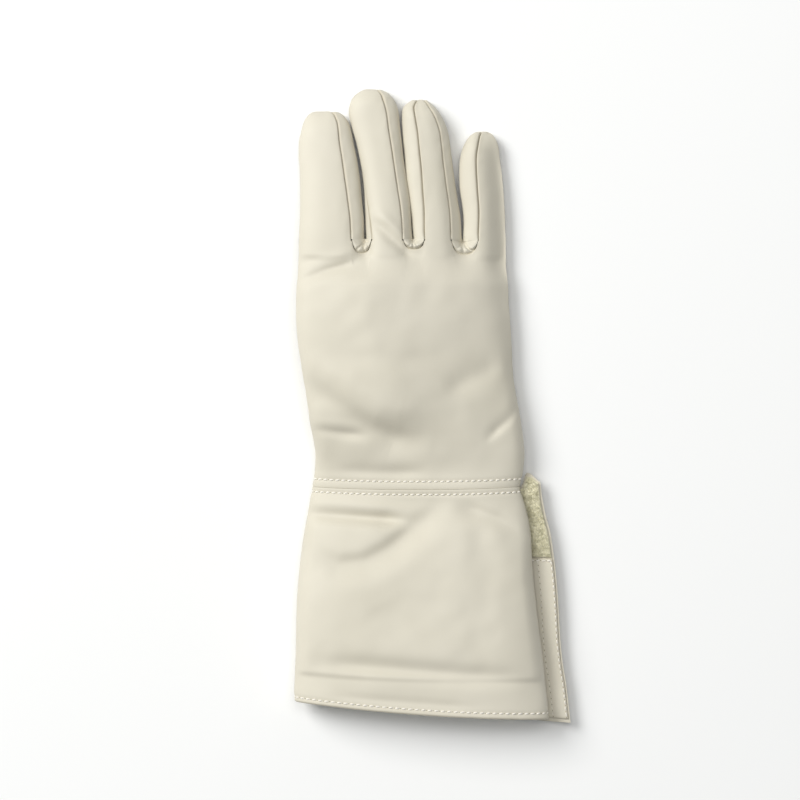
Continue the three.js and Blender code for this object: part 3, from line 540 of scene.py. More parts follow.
def sheet_faces(mask, flip):
    """Quads of a closed body from two grids of points (outer, then inner) over masked cells."""
    rows, columns = mask.shape
    width = columns + 1
    index = np.arange((rows + 1) * width).reshape(rows + 1, width)
    inner_of = (rows + 1) * width
    a, b, c, d = index[:-1, :-1], index[:-1, 1:], index[1:, 1:], index[1:, :-1]
    quads = [np.stack([a, b, c, d], -1)[mask], np.stack([a, d, c, b], -1)[mask] + inner_of]
    padded = np.pad(mask, 1)
    sides = [
        (padded[:-2, 1:-1], a, b),
        (padded[1:-1, 2:], b, c),
        (padded[2:, 1:-1], c, d),
        (padded[1:-1, :-2], d, a),
    ]
    for neighbour, start, end in sides:
        open_edge = mask & ~neighbour
        s, e = start[open_edge], end[open_edge]
        quads.append(np.stack([e, s, s + inner_of, e + inner_of], -1))
    faces = np.concatenate(quads)
    return faces[:, ::-1] if flip else faces


def make_mesh(name, co, faces, seam=None):
    """Mesh object from points in millimetres and quads, shaded smooth, unused points dropped."""
    used, faces = np.unique(faces, return_inverse=True)
    faces = faces.reshape(-1, 4)
    co = (co.reshape(-1, 3)[used] + ORIGIN) * MM
    mesh = bpy.data.meshes.new(name)
    mesh.vertices.add(len(co))
    mesh.vertices.foreach_set("co", co.astype(np.float32).ravel())
    mesh.loops.add(faces.size)
    mesh.loops.foreach_set("vertex_index", faces.astype(np.int32).ravel())
    mesh.polygons.add(len(faces))
    mesh.polygons.foreach_set("loop_start", np.arange(0, faces.size, 4, dtype=np.int32))
    mesh.update(calc_edges=True)
    mesh.polygons.foreach_set("use_smooth", np.ones(len(faces), bool))
    # The seam attribute carries painted shade: how far the leather darkens near its seams and edges
    if seam is not None:
        layer = mesh.attributes.new("seam", "FLOAT", "POINT")
        layer.data.foreach_set("value", seam.reshape(-1)[used].astype(np.float32))
    mesh.set_sharp_from_angle(angle=60 * RADIANS)
    piece = bpy.data.objects.new(name, mesh)
    bpy.context.scene.collection.objects.link(piece)
    return piece


# Corners of the quads that close the end of a tube, by the number of points round it
CAP_QUADS = {4: [(0, 1, 2, 3)], 8: [(0, 1, 2, 3), (0, 3, 4, 7), (4, 5, 6, 7)]}


def tubes(name, rings, flip=False):
    """Closed tubes, as one mesh object, from points by tube, ring and place round the ring."""
    index = np.arange(rings.size // 3).reshape(rings.shape[:3])
    a, b = index[:, :-1], index[:, 1:]
    quads = np.stack([a, np.roll(a, -1, axis=2), np.roll(b, -1, axis=2), b], -1).reshape(-1, 4)
    ends = (index[:, 0, ::-1], index[:, -1])
    caps = [end[:, corners] for corners in CAP_QUADS[rings.shape[2]] for end in ends]
    faces = np.concatenate([quads] + caps)
    return make_mesh(name, rings, faces[:, [0, 3, 2, 1]] if flip else faces)


def dress(piece, material, slot, *nodes):
    """Gives a piece its material, lets it ride and lets it stand for its CAD nodes; the slot is
    not used."""
    piece.data.materials.append(material)
    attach(piece, "root")
    if nodes:
        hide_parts(*nodes)
    return piece


def beside_wrist(x, y):
    """Share of the usual rounding and painted seam shade: little next to the wrist seam, all away from it.
    """
    return mix(WRIST_EDGE_SHARE, 1, soft_step(3, 9, np.abs(y)))


def sheet_piece(name, place, mask, wall, radius, flip, rough=0.0, seed=1, groove=0.0, calm=beside_wrist,
                slot="leather"):
    """Closed sheet from place(inset), which stands for the CAD node of its name, and its outer grid:
    its edges rounded (less where calm is low), its face gently uneven, puckered near the seams and
    pressed in along stitch grooves, its wall thick, with the nearness to a seam kept for the
    material's painted seam shade."""
    base = place(np.zeros((mask.shape[0] + 1, mask.shape[1] + 1)))
    distance = edge_distance(base, mask, 14)
    x, y = base[..., 0], base[..., 1]
    free = calm(x, y)
    radius = radius * free
    pucker = value_noise(x, y, 7, 3.4, seed) * np.exp(-((distance - 1.6) / 2.6) ** 2) * free
    uneven = 0.55 * value_noise(x, y, 31, 27, seed + 1) + 0.16 * value_noise(x, y, 11, 9, seed + 2)
    inset = rounded_edge(distance, radius) + groove
    inset = inset + rough * (0.17 * pucker + uneven * soft_step(0, 9, distance))
    outer, inner = place(inset), place(np.full(distance.shape, float(wall)))
    co = np.concatenate([outer.reshape(-1, 3), inner.reshape(-1, 3)])
    # Painted shade near seams and edges, exp(-d/1.1), less where calm is low
    painted_seam_shade = np.exp(-distance / 1.1) * free
    seam = np.concatenate([painted_seam_shade.ravel(), painted_seam_shade.ravel()])
    piece = make_mesh(name, co, sheet_faces(mask, flip), seam)
    return dress(piece, SLOTS[slot], slot, name), outer


def groove_at(away, depth=0.4):
    """Groove pressed in by a row of stitches: depth exp(-(d/1.1)^2)."""
    return depth * np.exp(-((away / 1.1) ** 2))


def grid_line(grid, row, column):
    """Points and unit normals of a grid along a line of row and column numbers."""
    row, column = np.broadcast_arrays(row, column)

    def read(values):
        r0 = np.clip(np.floor(row).astype(int), 0, grid.shape[0] - 2)
        c0 = np.clip(np.floor(column).astype(int), 0, grid.shape[1] - 2)
        fr, fc = (row - r0)[:, None], (column - c0)[:, None]
        low = mix(values[r0, c0], values[r0, c0 + 1], fc)
        return mix(low, mix(values[r0 + 1, c0], values[r0 + 1, c0 + 1], fc), fr)

    normal = read(np.cross(np.gradient(grid, axis=1), np.gradient(grid, axis=0)))
    normal = normal / np.linalg.norm(normal, axis=1, keepdims=True)
    return read(grid), np.where(normal[:, 2:] < 0, -normal, normal)


def stitches(name, lines, pitch, length=2.5, width=0.95, seed=5):
    """Stitches along lines of points and normals: each a small tube that rises out of one needle
    hole and dives into the next, h = 0.42 sin(pi t)^0.6 - 0.12; the holes are shallow domes of painted
    shade."""
    random = np.random.default_rng(seed)
    t = np.linspace(0, 1, 9)
    turn = 2 * np.pi * np.arange(8) / 8
    dome = np.linspace(0, np.pi / 2, 4)
    threads, holes = [], []
    for line, normal in lines:
        travelled = np.concatenate([[0], np.cumsum(np.linalg.norm(np.diff(line, axis=0), axis=1))])
        count = int(travelled[-1] // pitch)

        def at(values, place):
            return np.stack([np.interp(place, travelled, values[:, k]) for k in range(3)], axis=-1)

        def frame_at(place):
            up, along = at(normal, place), at(line, place + 0.6) - at(line, place - 0.6)
            along /= np.linalg.norm(along, axis=1, keepdims=True)
            return at(line, place), up, along, np.cross(up, along)

        centre, up, along, side = frame_at((np.arange(count) + 0.5) * travelled[-1] / count)
        slant = np.radians(7 + random.uniform(-4, 4, count))[:, None]
        long_way = np.cos(slant) * along + np.sin(slant) * side
        wide_way = np.cross(up, long_way)
        size = length * (1 + random.uniform(-0.06, 0.06, count))
        lift = 0.42 * np.sin(np.pi * t) ** 0.6 - 0.12
        thick = width / 2 * np.maximum(np.sin(np.pi * t), 0.02) ** 0.35
        spine = (centre[:, None] + long_way[:, None] * ((t - 0.5) * size[:, None])[..., None]
                 + up[:, None] * lift[None, :, None])
        threads.append(spine[:, :, None]
                       + wide_way[:, None, None] * (thick[None, :, None] * np.cos(turn))[..., None]
                       + up[:, None, None] * (0.75 * thick[None, :, None] * np.sin(turn))[..., None])
        centre, up, along, side = frame_at(np.arange(count + 1) * travelled[-1] / count)
        rim = np.cos(dome)[:, None]
        holes.append(centre[:, None, None]
                     + along[:, None, None] * (0.36 * rim * np.cos(turn))[None, ..., None]
                     + side[:, None, None] * (0.3 * rim * np.sin(turn))[None, ..., None]
                     + up[:, None, None] * (0.09 * np.sin(dome) - 0.02)[None, :, None, None])
    dress(tubes(name, np.concatenate(threads)), thread, "leather")
    # Needle holes as small domes coloured dark with painted shade
    dress(tubes(name + "_holes", np.concatenate(holes)), hole, "leather")


# The row frame's place of the middle of the wrist seam, from where the cuff's back lies
cuff_low, cuff_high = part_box("gauntlet_back")
ORIGIN = np.array([
    cuff_low.x / MM + MOUTH_LEFT_SHARE * CUFF_MOUTH_WIDTH,
    cuff_high.y / MM + SOLID_GAP / 2,
    0,
])

# Camera: straight above, far off with a long lens, over the middle of the photograph, where a pixel
# is PIXEL millimetres wide at TRUE_HEIGHT, the height of the glove's back in metres
PIXEL = 0.5775
PICTURE_PIXELS = 800
VIEW_CENTRE = (-2.9, 50.2)
CAMERA_HEIGHT = 3.2
TRUE_HEIGHT = 0.02
SENSOR = 36
camera_data = bpy.data.cameras.new("camera")
camera_data.sensor_width = SENSOR
camera_data.lens = SENSOR * (CAMERA_HEIGHT - TRUE_HEIGHT) / (PICTURE_PIXELS * PIXEL * MM)
camera_data.clip_end = 20
camera = bpy.data.objects.new("camera", camera_data)
camera.location = (
    (VIEW_CENTRE[0] + ORIGIN[0]) * MM,
    (VIEW_CENTRE[1] + ORIGIN[1]) * MM,
    CAMERA_HEIGHT,
)
bpy.context.scene.collection.objects.link(camera)
bpy.context.scene.camera = camera


def linear(code):
    """Linear colour from an sRGB hex code."""
    value = np.array([int(code[i:i + 2], 16) for i in (1, 3, 5)]) / 255
    value = np.where(value <= 0.04045, value / 12.92, ((value + 0.055) / 1.055) ** 2.4)
    return (*value.tolist(), 1.0)


def set_inputs(tree, node, inputs):
    """Sets a node's named inputs to values, or links them to other nodes' outputs."""
    for key, value in inputs.items():
        if isinstance(value, bpy.types.NodeSocket):
            tree.links.new(value, node.inputs[key])
        else:
            node.inputs[key].default_value = value


def add_node(tree, kind, output, inputs=None, **settings):
    """Adds a node with its settings and inputs, and returns one of its outputs."""
    node = tree.nodes.new(kind)
    for key, value in settings.items():
        setattr(node, key, value)
    set_inputs(tree, node, inputs or {})
    return node.outputs[output]


def noise(tree, place, scale, detail=2.0):
    """Noise of a number of waves a metre."""
    return add_node(tree, "ShaderNodeTexNoise", "Fac", {"Vector": place, "Scale": scale, "Detail": detail})


def stretched(tree, value, low, high):
    """Value from low to high stretched to 0 to 1."""
    return add_node(tree, "ShaderNodeMapRange", 0, {"Value": value, "From Min": low, "From Max": high})


def colour_between(tree, share, low, high):
    """Colour from low to high by a share; each is a hex code or an output."""
    low, high = (linear(end) if isinstance(end, str) else end for end in (low, high))
    return add_node(tree, "ShaderNodeMix", "Result", {
        "Factor": share, "A": low, "B": high}, data_type="RGBA")


def bumped(tree, height, distance, strength):
    """Normal bumped by a height, whose 1 stands for a distance in metres."""
    return add_node(tree, "ShaderNodeBump", "Normal", {
        "Height": height, "Distance": distance, "Strength": strength})


def new_material(name):
    """Empty node material, its tree and its shader."""
    material = bpy.data.materials.new(name)
    material.use_nodes = True
    tree = material.node_tree
    return material, tree, next(n for n in tree.nodes if n.type == "BSDF_PRINCIPLED")


def leather_material():
    """Cream synthetic leather with a fine matte coat: a faint pebble of half a millimetre that
    breaks up the light, a slow drift of tone, and painted shade down in the seams and along the edges."""
    material, tree, shader = new_material("coated_leather")
    place = add_node(tree, "ShaderNodeTexCoord", "Object")
    # The seam attribute is painted shade along the seams and edges
    seam = add_node(tree, "ShaderNodeAttribute", "Fac", attribute_name="seam", attribute_type="GEOMETRY")
    tone = colour_between(tree, stretched(tree, noise(tree, place, 16.0, 3.0), 0.3, 0.7), *LEATHER_COLOURS)
    seam_shade_share = add_node(tree, "ShaderNodeMath", 0, {0: seam, 1: 0.45}, operation="MULTIPLY")
    rough = add_node(tree, "ShaderNodeMapRange", 0, {
        "Value": noise(tree, place, 90.0), "To Min": 0.52, "To Max": 0.64})
    pebble = add_node(tree, "ShaderNodeTexVoronoi", "Distance", {"Vector": place, "Scale": 1900.0})
    fine = noise(tree, place, 900.0, 4.0)
    grain = add_node(tree, "ShaderNodeMath", 0, {0: pebble, 1: fine}, operation="ADD")
    set_inputs(tree, shader, {
        "Base Color": colour_between(tree, seam_shade_share, tone, LEATHER_SEAM_SHADE_COLOUR),
        "Roughness": rough,
        "Normal": bumped(tree, grain, 0.00005, 0.35),
        "Specular IOR Level": 0.4,
        "Sheen Weight": 0.12,
        "Sheen Roughness": 0.5,
    })
    return material


def thread_material():
    """Pale twisted polyester thread: slanting plies across each stitch, and a soft sheen."""
    material, tree, shader = new_material("stitch_thread")
    place = add_node(tree, "ShaderNodeTexCoord", "Object")
    turned = add_node(tree, "ShaderNodeMapping", 0, {"Vector": place, "Rotation": (0.0, 0.0, 0.7)})
    ply = add_node(tree, "ShaderNodeTexWave", "Fac", {"Vector": turned, "Scale": 1500.0})
    set_inputs(tree, shader, {
        "Base Color": colour_between(tree, ply, *THREAD_COLOURS),
        "Roughness": 0.5,
        "Normal": bumped(tree, ply, 0.00008, 0.5),
    })
    return material


def hole_material():
    """Shadowed inside of a needle hole: dull and dark, a little uneven."""
    material, tree, shader = new_material("needle_hole_shade")
    speck = noise(tree, add_node(tree, "ShaderNodeTexCoord", "Object"), 2500.0)
    set_inputs(tree, shader, {"Base Color": colour_between(tree, speck, *HOLE_SHADE_COLOURS), "Roughness": 0.95})
    return material


def tape_material(name, colours):
    """Woven tape or its loop pile: matte nylon, mottled where the loops lie in tufts, with a
    crossed weave of a third of a millimetre."""
    material, tree, shader = new_material(name)
    place = add_node(tree, "ShaderNodeTexCoord", "Object")
    tufts = stretched(tree, noise(tree, place, 420.0, 5.0), 0.36, 0.64)
    set_inputs(tree, shader, {
        "Base Color": colour_between(tree, tufts, *colours),
        "Roughness": 0.9,
        "Normal": bumped(tree, noise(tree, place, 3000.0), 0.0002, 0.7),
        "Sheen Weight": 0.3,
    })
    return material


SLOTS = {
    "leather": leather_material(),
    "loop_tape": tape_material("loop_tape_nylon", LOOP_COLOURS),
    "hook_tape": tape_material("hook_tape_nylon", TAPE_COLOURS),
}
thread = thread_material()
hole = hole_material()

# The two comb-shaped panels: grid columns of the four fingers and of each gap, rows of the hand and of
# the fingers, padding, and how deep the crotches dip, from the index finger on
BACK_COMB = {"side": "back", "counts": (36, 34, 34, 32), "between": 17, "row_count": 124, "tip_rows": 74,
             "padding": BACK_PADDING, "depth": (7.4, 5, 7.8)}
PALM_COMB = {"side": "palm", "counts": (18, 16, 16, 16), "between": 5, "row_count": 70, "tip_rows": 40,
             "padding": 0, "depth": (1.25, 1.25, 1.25)}


def smoothed(grid, width, times=3):
    """Grid averaged over a number of columns, a few times over, its end columns repeated."""
    half = width // 2
    for _ in range(times):
        ends = np.pad(grid, ((0, 0), (half, half), (0, 0)), mode="edge")
        sums = np.cumsum(np.pad(ends, ((0, 0), (1, 0), (0, 0))), axis=1)
        grid = (sums[:, width:] - sums[:, :-width]) / width
    return grid


def crotch_shares(side, gap):
    """Height shares of the seams on the two sides of a crotch."""
    seams = FINGERS[gap - 1][side + "Right"], FINGERS[gap][side + "Left"]
    return [height_share(seam[0]) for seam in seams]


def comb_place(side, counts, between, row_count, tip_rows, padding, depth):
    """place(inset), the cell mask and the rows' places of the comb-shaped back or palm with its
    finger panels."""
    groups = comb_columns(counts, between)
    angles = hand_angles(side, groups, depth)
    column = np.arange(groups[-1][3].stop)
    away_from_sides = soft_step(*SIDE_COLUMNS, np.minimum(column, column[::-1]))
    rows = HAND_LENGTH * graded(row_count, 0.35)
    rows[0] = SEAM_GAP / 2
    tips = 1 - (1 - np.linspace(0, 1, tip_rows + 1)) ** 1.5
    root_share = np.concatenate([
        height_share(turn_angle(side, panel_angle(side, FINGERS[f], share, 0.0))) if f is not None
        else mix(*crotch_shares(side, gap), share) for f, gap, share, _ in groups])

    def place(inset):
        out = np.zeros(inset.shape + (3,))
        hand_inset = inset[:row_count + 1]
        pad = padding * (1 - np.minimum(hand_inset / BACK_WALL, 1)) if padding else 0.0
        root = root_points(side, groups, hand_inset, depth)
        dip = (HAND_LENGTH - root[..., 1]) * soft_step(CROTCH_REACH, 0, HAND_LENGTH - rows)[:, None]
        y = rows[:, None] - dip
        root[..., 2] += lift_at(root[..., 0], y) - lift_at(root[..., 0], HAND_LENGTH)
        behind = HAND_LENGTH - KNUCKLE_END - y
        if side == "back":
            even = smoothed(root[..., ::2], EVEN_COLUMNS)
            smooth = soft_step(0, KNUCKLE_SMOOTHING, behind) * away_from_sides
            root[..., ::2] = mix(root[..., ::2], even, smooth[..., None])
        root[..., 1] = y
        share = soft_step(KNUCKLE_BLEND - KNUCKLE_END, 0, behind)
        blended = mix(hand_point(angles[None, :], y, hand_inset, pad), root, share[..., None])
        out[:row_count + 1] = folded(blended, mix(height_share(angles[None, :]), root_share, share))
        for f, gap, across, span in groups:
            if f is not None:
                along = tips[1:, None]
                angle = turn_angle(side, panel_angle(side, FINGERS[f], across[None, :], along))
                finger = finger_point(FINGERS[f], angle, along, inset[row_count + 1:, span])
                out[row_count + 1:, span] = folded(finger, height_share(angle))
            else:
                out[row_count + 1:, span] = out[row_count, span]
        return out

    mask = np.ones((row_count + tip_rows, len(column) - 1), bool)
    for f, gap, across, span in groups:
        if f is None:
            mask[row_count:, span.start - 1:span.stop] = False
    return place, mask, np.concatenate([rows, np.full(tip_rows, HAND_LENGTH)])


def thumb_size(along):
    """Centre across, half width, half height before and after the tip's rounding, of the thumb."""
    centre = HAND_WIDTH * curve_at(THUMB, "centre", along)
    half_width = THUMB_WIDTH * curve_at(THUMB, "width", along) / 2
    half_height = THUMB_THICKNESS * curve_at(THUMB, "height", along) / 2
    tip_start = 1 - THUMB_TIP_ROUNDING * THUMB_THICKNESS / THUMB_LENGTH
    past = np.clip((along - tip_start) / (1 - tip_start), 0, 1)
    return centre, half_width, half_height, half_height * np.sqrt(1 - THUMB_TIP_FALL * past ** 2)


def palm_under(x, y):
    """Underside of the palm at a place on the floor."""
    left, right, half = section_size(HAND, HAND_THICKNESS, y / HAND_LENGTH)
    across = np.minimum(np.abs((2 * x - left - right) / (right - left)), 1)
    drop = half * (1 - across ** BOTTOM_ROUNDNESS) ** (1 / BOTTOM_ROUNDNESS)
    return np.maximum(half - FLOOR_PRESS - drop + lift_at(x, y), 0)


def cuff_size(along):
    """Side edges, half height and the flap's edge of the gauntlet at shares of its length."""
    left = mix(HAND["left"][0] * HAND_WIDTH, -MOUTH_LEFT_SHARE * CUFF_MOUTH_WIDTH,
               curve_at(CUFF, "leftFlare", along))
    right = mix(HAND["right"][0] * HAND_WIDTH, (1 - MOUTH_LEFT_SHARE) * CUFF_MOUTH_WIDTH,
                curve_at(CUFF, "rightFlare", along))
    half = mix(HAND["height"][0] * HAND_THICKNESS, CUFF_MOUTH_HEIGHT, curve_at(CUFF, "rise", along)) / 2
    return left, right, half, right + FLAP_REACH * curve_at(CUFF, "flap", along)


def cuff_place(left, right, x, along):
    """Place along the glove of a point of the gauntlet, whose hem slants and bows."""
    across = np.clip((x - left) / (right - left), 0, 1)
    return -along * (CUFF_LENGTH + CUFF_SLANT * across + 4 * HEM_BOW * across * (1 - across))


def cuff_point(angle, along, inset, padding):
    """Points of the gauntlet at angles and shares of its length, set in from the outer face."""
    left, right, half, _ = cuff_size(along)
    px, pz = section_point(angle, (right - left) / 2 - inset, half - inset)
    x = (left + right) / 2 + px
    y = cuff_place(left, right, x, along)
    behind = along - PAD_END_SLANT * (right - x) / (right - left) * soft_step(0.4, 0.8, along)
    raised = top_cover(angle) * padding * curve_at(CUFF_PAD, "pad", behind)
    z = np.maximum(half - FLOOR_PRESS + pz, np.maximum(inset, 0))
    return folded(points(x, y - bow_at(angle, along), z + raised), height_share(angle))


def flap_point(across, along, height):
    """Points of the flap under the slit, from its root (0) to its free edge (1), height above its
    lower face; its end at the wrist is drawn up where it shows beside the slit."""
    left, right, _, edge = cuff_size(along)
    low = np.clip(height, 0, CUFF_WALL)
    root = cuff_point(FLAP_ROOT_ANGLE, along, low, 0)
    x = mix(root[..., 0], edge, across)
    z = mix(root[..., 2] - low, FLAP_HEIGHT, across ** FLAP_CURL) + height
    over = (x - right) / FLAP_REACH
    corner = soft_step(0.1, 0.34, over) * (1 - 0.7 * soft_step(0.4, 1.1, over))
    rise = FLAP_RISE * soft_step(FLAP_CORNER, 0, along) * corner
    y = cuff_place(left, right, x, along) - FLAP_DROP * along * across + rise
    return points(x, y, z)


# Padded back of the hand with the backs of the fingers
back_place, back_mask, back_rows = comb_place(**BACK_COMB)
hand_back, back_grid = sheet_piece(
    "hand_back", back_place, back_mask, BACK_WALL, radius=1.3, flip=False, rough=1.0, seed=11,
    groove=groove_at(back_rows - WRIST_ROW_ABOVE)[:, None])

# Palm with the fronts of the fingers, and the hole where the thumb is sewn on
THUMB_HOLE_END = 0.5
palm_place, palm_mask, _ = comb_place(**PALM_COMB)
palm_grid = palm_place(np.zeros((palm_mask.shape[0] + 1, palm_mask.shape[1] + 1)))
cell = (palm_grid[:-1, :-1] + palm_grid[1:, 1:]) / 2
thumb_along = (cell[..., 1] - HAND_LENGTH * THUMB_START) / THUMB_LENGTH
t_centre, t_width, t_height, _ = thumb_size(thumb_along)
across = np.abs(cell[..., 0] - t_centre) / (t_width - THUMB_WALL)
hollow_top = t_height - FLOOR_PRESS + (t_height - THUMB_WALL) * np.sqrt(np.maximum(1 - across ** 2, 0))
over_thumb = (thumb_along > 0) & (thumb_along < THUMB_HOLE_END) & (across < 1)
palm_mask &= ~(over_thumb & (cell[..., 2] < hollow_top - 0.5))
sheet_piece("hand_palm", palm_place, palm_mask, PALM_WALL, radius=0.9, flip=True, rough=0.4, seed=21)

# Strips down the sides of the fingers, ending just short of the very tip
STRIPS = [(0, "Right"), (1, "Left"), (1, "Right"), (2, "Left"), (2, "Right"), (3, "Left")]
STRIP_END = 0.998
strip_along = STRIP_END * (1 - (1 - np.linspace(0, 1, STRIP_CELLS[0] + 1)[:, None]) ** 1.5)


def finger_strip(finger, side, seed):
    """Strip down one side of a finger, between the seams of its back and its palm."""
    outward = 1 if side == "Right" else -1
    top, bottom = (seam_angle(finger, panel + side, strip_along) for panel in ("back", "palm"))
    start = top + outward * half_gap_angle(finger, top, strip_along)
    end = bottom - outward * half_gap_angle(finger, bottom, strip_along)
    angle = mix(start, end, graded(STRIP_CELLS[1])[None, :])

    def place(inset):
        strip = finger_point(finger, angle, np.maximum(strip_along, SOLID_GAP / finger["length"]), inset)
        return folded(strip, height_share(angle))

    sheet_piece(
        f"fourchette_{finger['name']}_{side.lower()}", place, np.ones(STRIP_CELLS, bool), STRIP_WALL,
        radius=1.0, flip=side == "Left", rough=0.9, seed=seed,
        calm=lambda x, y: soft_step(-0.5, 5, y - HAND_LENGTH))


for seed, (f, side) in enumerate(STRIPS, 31):
    finger_strip(FINGERS[f], side, seed)

# Padded back of the gauntlet
cuff_rows = graded(CUFF_BACK_CELLS[0], 0.45)[:, None]
cuff_rows[0] = SEAM_GAP / 2 / CUFF_LENGTH


def cuff_back_place(inset):
    """Back of the gauntlet from the thumb side seam over the top to the slit."""
    angle = mix(-OUTER_SEAM_ANGLE + 0.5, curve_at(CUFF, "slitAngle", cuff_rows),
                graded(CUFF_BACK_CELLS[1])[None, :])
    pad = CUFF_PADDING * (1 - np.minimum(np.maximum(inset, 0) / CUFF_WALL, 1))
    return cuff_point(angle, cuff_rows, inset, pad)


hem_row = mix(*HEM_ROW_IN, np.linspace(0, 1, CUFF_BACK_CELLS[1] + 1)[None, :] ** 2)
cuff_groove = groove_at(cuff_rows * CUFF_LENGTH - WRIST_ROW_BELOW)
cuff_groove = cuff_groove + groove_at((1 - cuff_rows) * CUFF_LENGTH - hem_row)
gauntlet_back, cuff_grid = sheet_piece(
    "gauntlet_back", cuff_back_place, np.ones(CUFF_BACK_CELLS, bool), CUFF_WALL,
    radius=1.1, flip=True, rough=1.0, seed=41, groove=cuff_groove)

# Underside of the gauntlet and the flap under the slit
under_rows = graded(CUFF_UNDER_ROWS, 0.3)[:, None]
under_rows[0] = SEAM_GAP / 2 / CUFF_LENGTH
under_columns = np.linspace(0, 1, CUFF_UNDER_COLUMNS + 1)[None, :]
flap_columns = (1 - (1 - np.linspace(0, 1, FLAP_COLUMNS + 1)[1:]) ** 1.4)[None, :]


def cuff_under_place(inset):
    """Underside of the gauntlet, then the flap from its root to its free edge."""
    angle = mix(-OUTER_SEAM_ANGLE - 0.5, FLAP_ROOT_ANGLE - 360, under_columns)
    angle = np.where(angle < -180, angle + 360, angle)
    under_inset, flap_inset = np.split(inset, [CUFF_UNDER_COLUMNS + 1], axis=1)
    under = cuff_point(angle, under_rows, under_inset, 0)
    return np.concatenate([under, flap_point(flap_columns, under_rows, flap_inset)], axis=1)


sheet_piece(
    "gauntlet_palm", cuff_under_place, np.ones((CUFF_UNDER_ROWS, CUFF_UNDER_COLUMNS + FLAP_COLUMNS), bool),
    CUFF_WALL, radius=1, flip=False, seed=51, calm=lambda x, y: 0.4)


def flap_strip(name, start, end, width, margin, thickness, count, rough, seed, slot="leather"):
    """Strip laid on the flap's upper face between two places along it, and its outer grid."""
    rows = mix(start, end, graded(count, 0.3))[:, None]
    root, edge = flap_point(0.0, rows, CUFF_WALL)[..., 0], flap_point(1.0, rows, CUFF_WALL)[..., 0]
    x = edge - margin - width * (1 - graded(FLAP_STRIP_COLUMNS, 0.4)[None, :])

    def place(inset):
        return flap_point((x - root) / (edge - root), rows, CUFF_WALL + 0.1 + thickness - inset)

    mask = np.ones((count, FLAP_STRIP_COLUMNS), bool)
    _, grid = sheet_piece(
        name, place, mask, thickness, radius=0.5, flip=True, rough=rough, seed=seed, slot=slot)
    return grid


facing_grid = flap_strip(
    "slit_facing", FACING_START, FACING_END, FACING_WIDTH, margin=1, thickness=FACING_WALL, count=80,
    rough=0.5, seed=61)
loop_grid = flap_strip(
    "loop_strip", TAPE_START, TAPE_END, TAPE_WIDTH, margin=1.5, thickness=TAPE_THICKNESS, count=50,
    rough=0.6, seed=71, slot="loop_tape")


def hook_place(inset):
    """Hook strip inside the back of the gauntlet, beside the slit."""
    along = mix(TAPE_START, TAPE_END, np.linspace(0, 1, HOOK_CELLS[0] + 1))[:, None]
    angle = mix(*HOOK_ANGLES, np.linspace(0, 1, HOOK_CELLS[1] + 1))[None, :]
    return cuff_point(angle, along, CUFF_WALL + SOLID_GAP + inset, 0)


sheet_piece("hook_strip", hook_place, np.ones(HOOK_CELLS, bool), TAPE_THICKNESS, radius=0.3, flip=True,
            slot="hook_tape")

# Folded thumb: a tube open into the palm, which it would touch but for PALM_CLEARANCE
PALM_CLEARANCE = 0.3
thumb_rows = (1 - (1 - np.linspace(0, 1, THUMB_ROWS + 1)) ** 1.4)[:, None]
thumb_angles = (180 - 360 * np.arange(THUMB_SIDES + 1) / THUMB_SIDES)[None, :]


def thumb_place(inset):
    """Thumb at angles round it; where it would meet the palm it stays just under it."""
    centre, half_width, half_height, rounded = thumb_size(thumb_rows)
    px, pz = section_point(thumb_angles, half_width - inset, np.maximum(rounded - inset, SEAM_GAP))
    x, y = centre + px, HAND_LENGTH * THUMB_START + (THUMB_LENGTH - inset) * thumb_rows
    z = np.maximum(half_height - FLOOR_PRESS + pz, np.maximum(inset, 0))
    return points(x, y, np.minimum(z, palm_under(x, y) - PALM_CLEARANCE))


thumb_grid = thumb_place(np.zeros((THUMB_ROWS + 1, THUMB_SIDES + 1)))
under_gap = palm_under(thumb_grid[..., 0], thumb_grid[..., 1]) - PALM_CLEARANCE - thumb_grid[..., 2]
in_palm = under_gap < 0.02
thumb_mask = ~(in_palm[:-1, :-1] & in_palm[1:, :-1] & in_palm[:-1, 1:] & in_palm[1:, 1:])
sheet_piece("thumb", thumb_place, thumb_mask, THUMB_WALL, radius=0.1, flip=True)

# Gathered pockets that close the crotches between the fingers. Creases run from the gap back to the
# U-shaped edge: where across they start and end, and how deep they are. KNOT_TUCK is how far the
# pockets reach under that edge, KNOT_TURN the share of their rows behind the turn down to the palm.
KNOTS = [
    {"name": "quirk_index_middle", "gap": 1, "puff": 2.0,
     "creases": [(0.5, 0.2, 0.9), (0.5, 0.66, 1.3), (0.62, 0.95, 0.7)]},
    {"name": "quirk_middle_ring", "gap": 2, "puff": 2.6,
     "creases": [(0.5, 0.42, 0.8), (0.42, 0.16, 0.6), (0.56, 0.8, 0.4)]},
    {"name": "quirk_ring_little", "gap": 3, "puff": 2.6,
     "creases": [(0.5, 0.86, 1.7), (0.5, 0.4, 0.6), (0.44, 0.1, 0.4)]},
]
KNOT_TUCK = 0.5
KNOT_TURN = 0.55
KNOT_VALLEY_ANGLE = 76


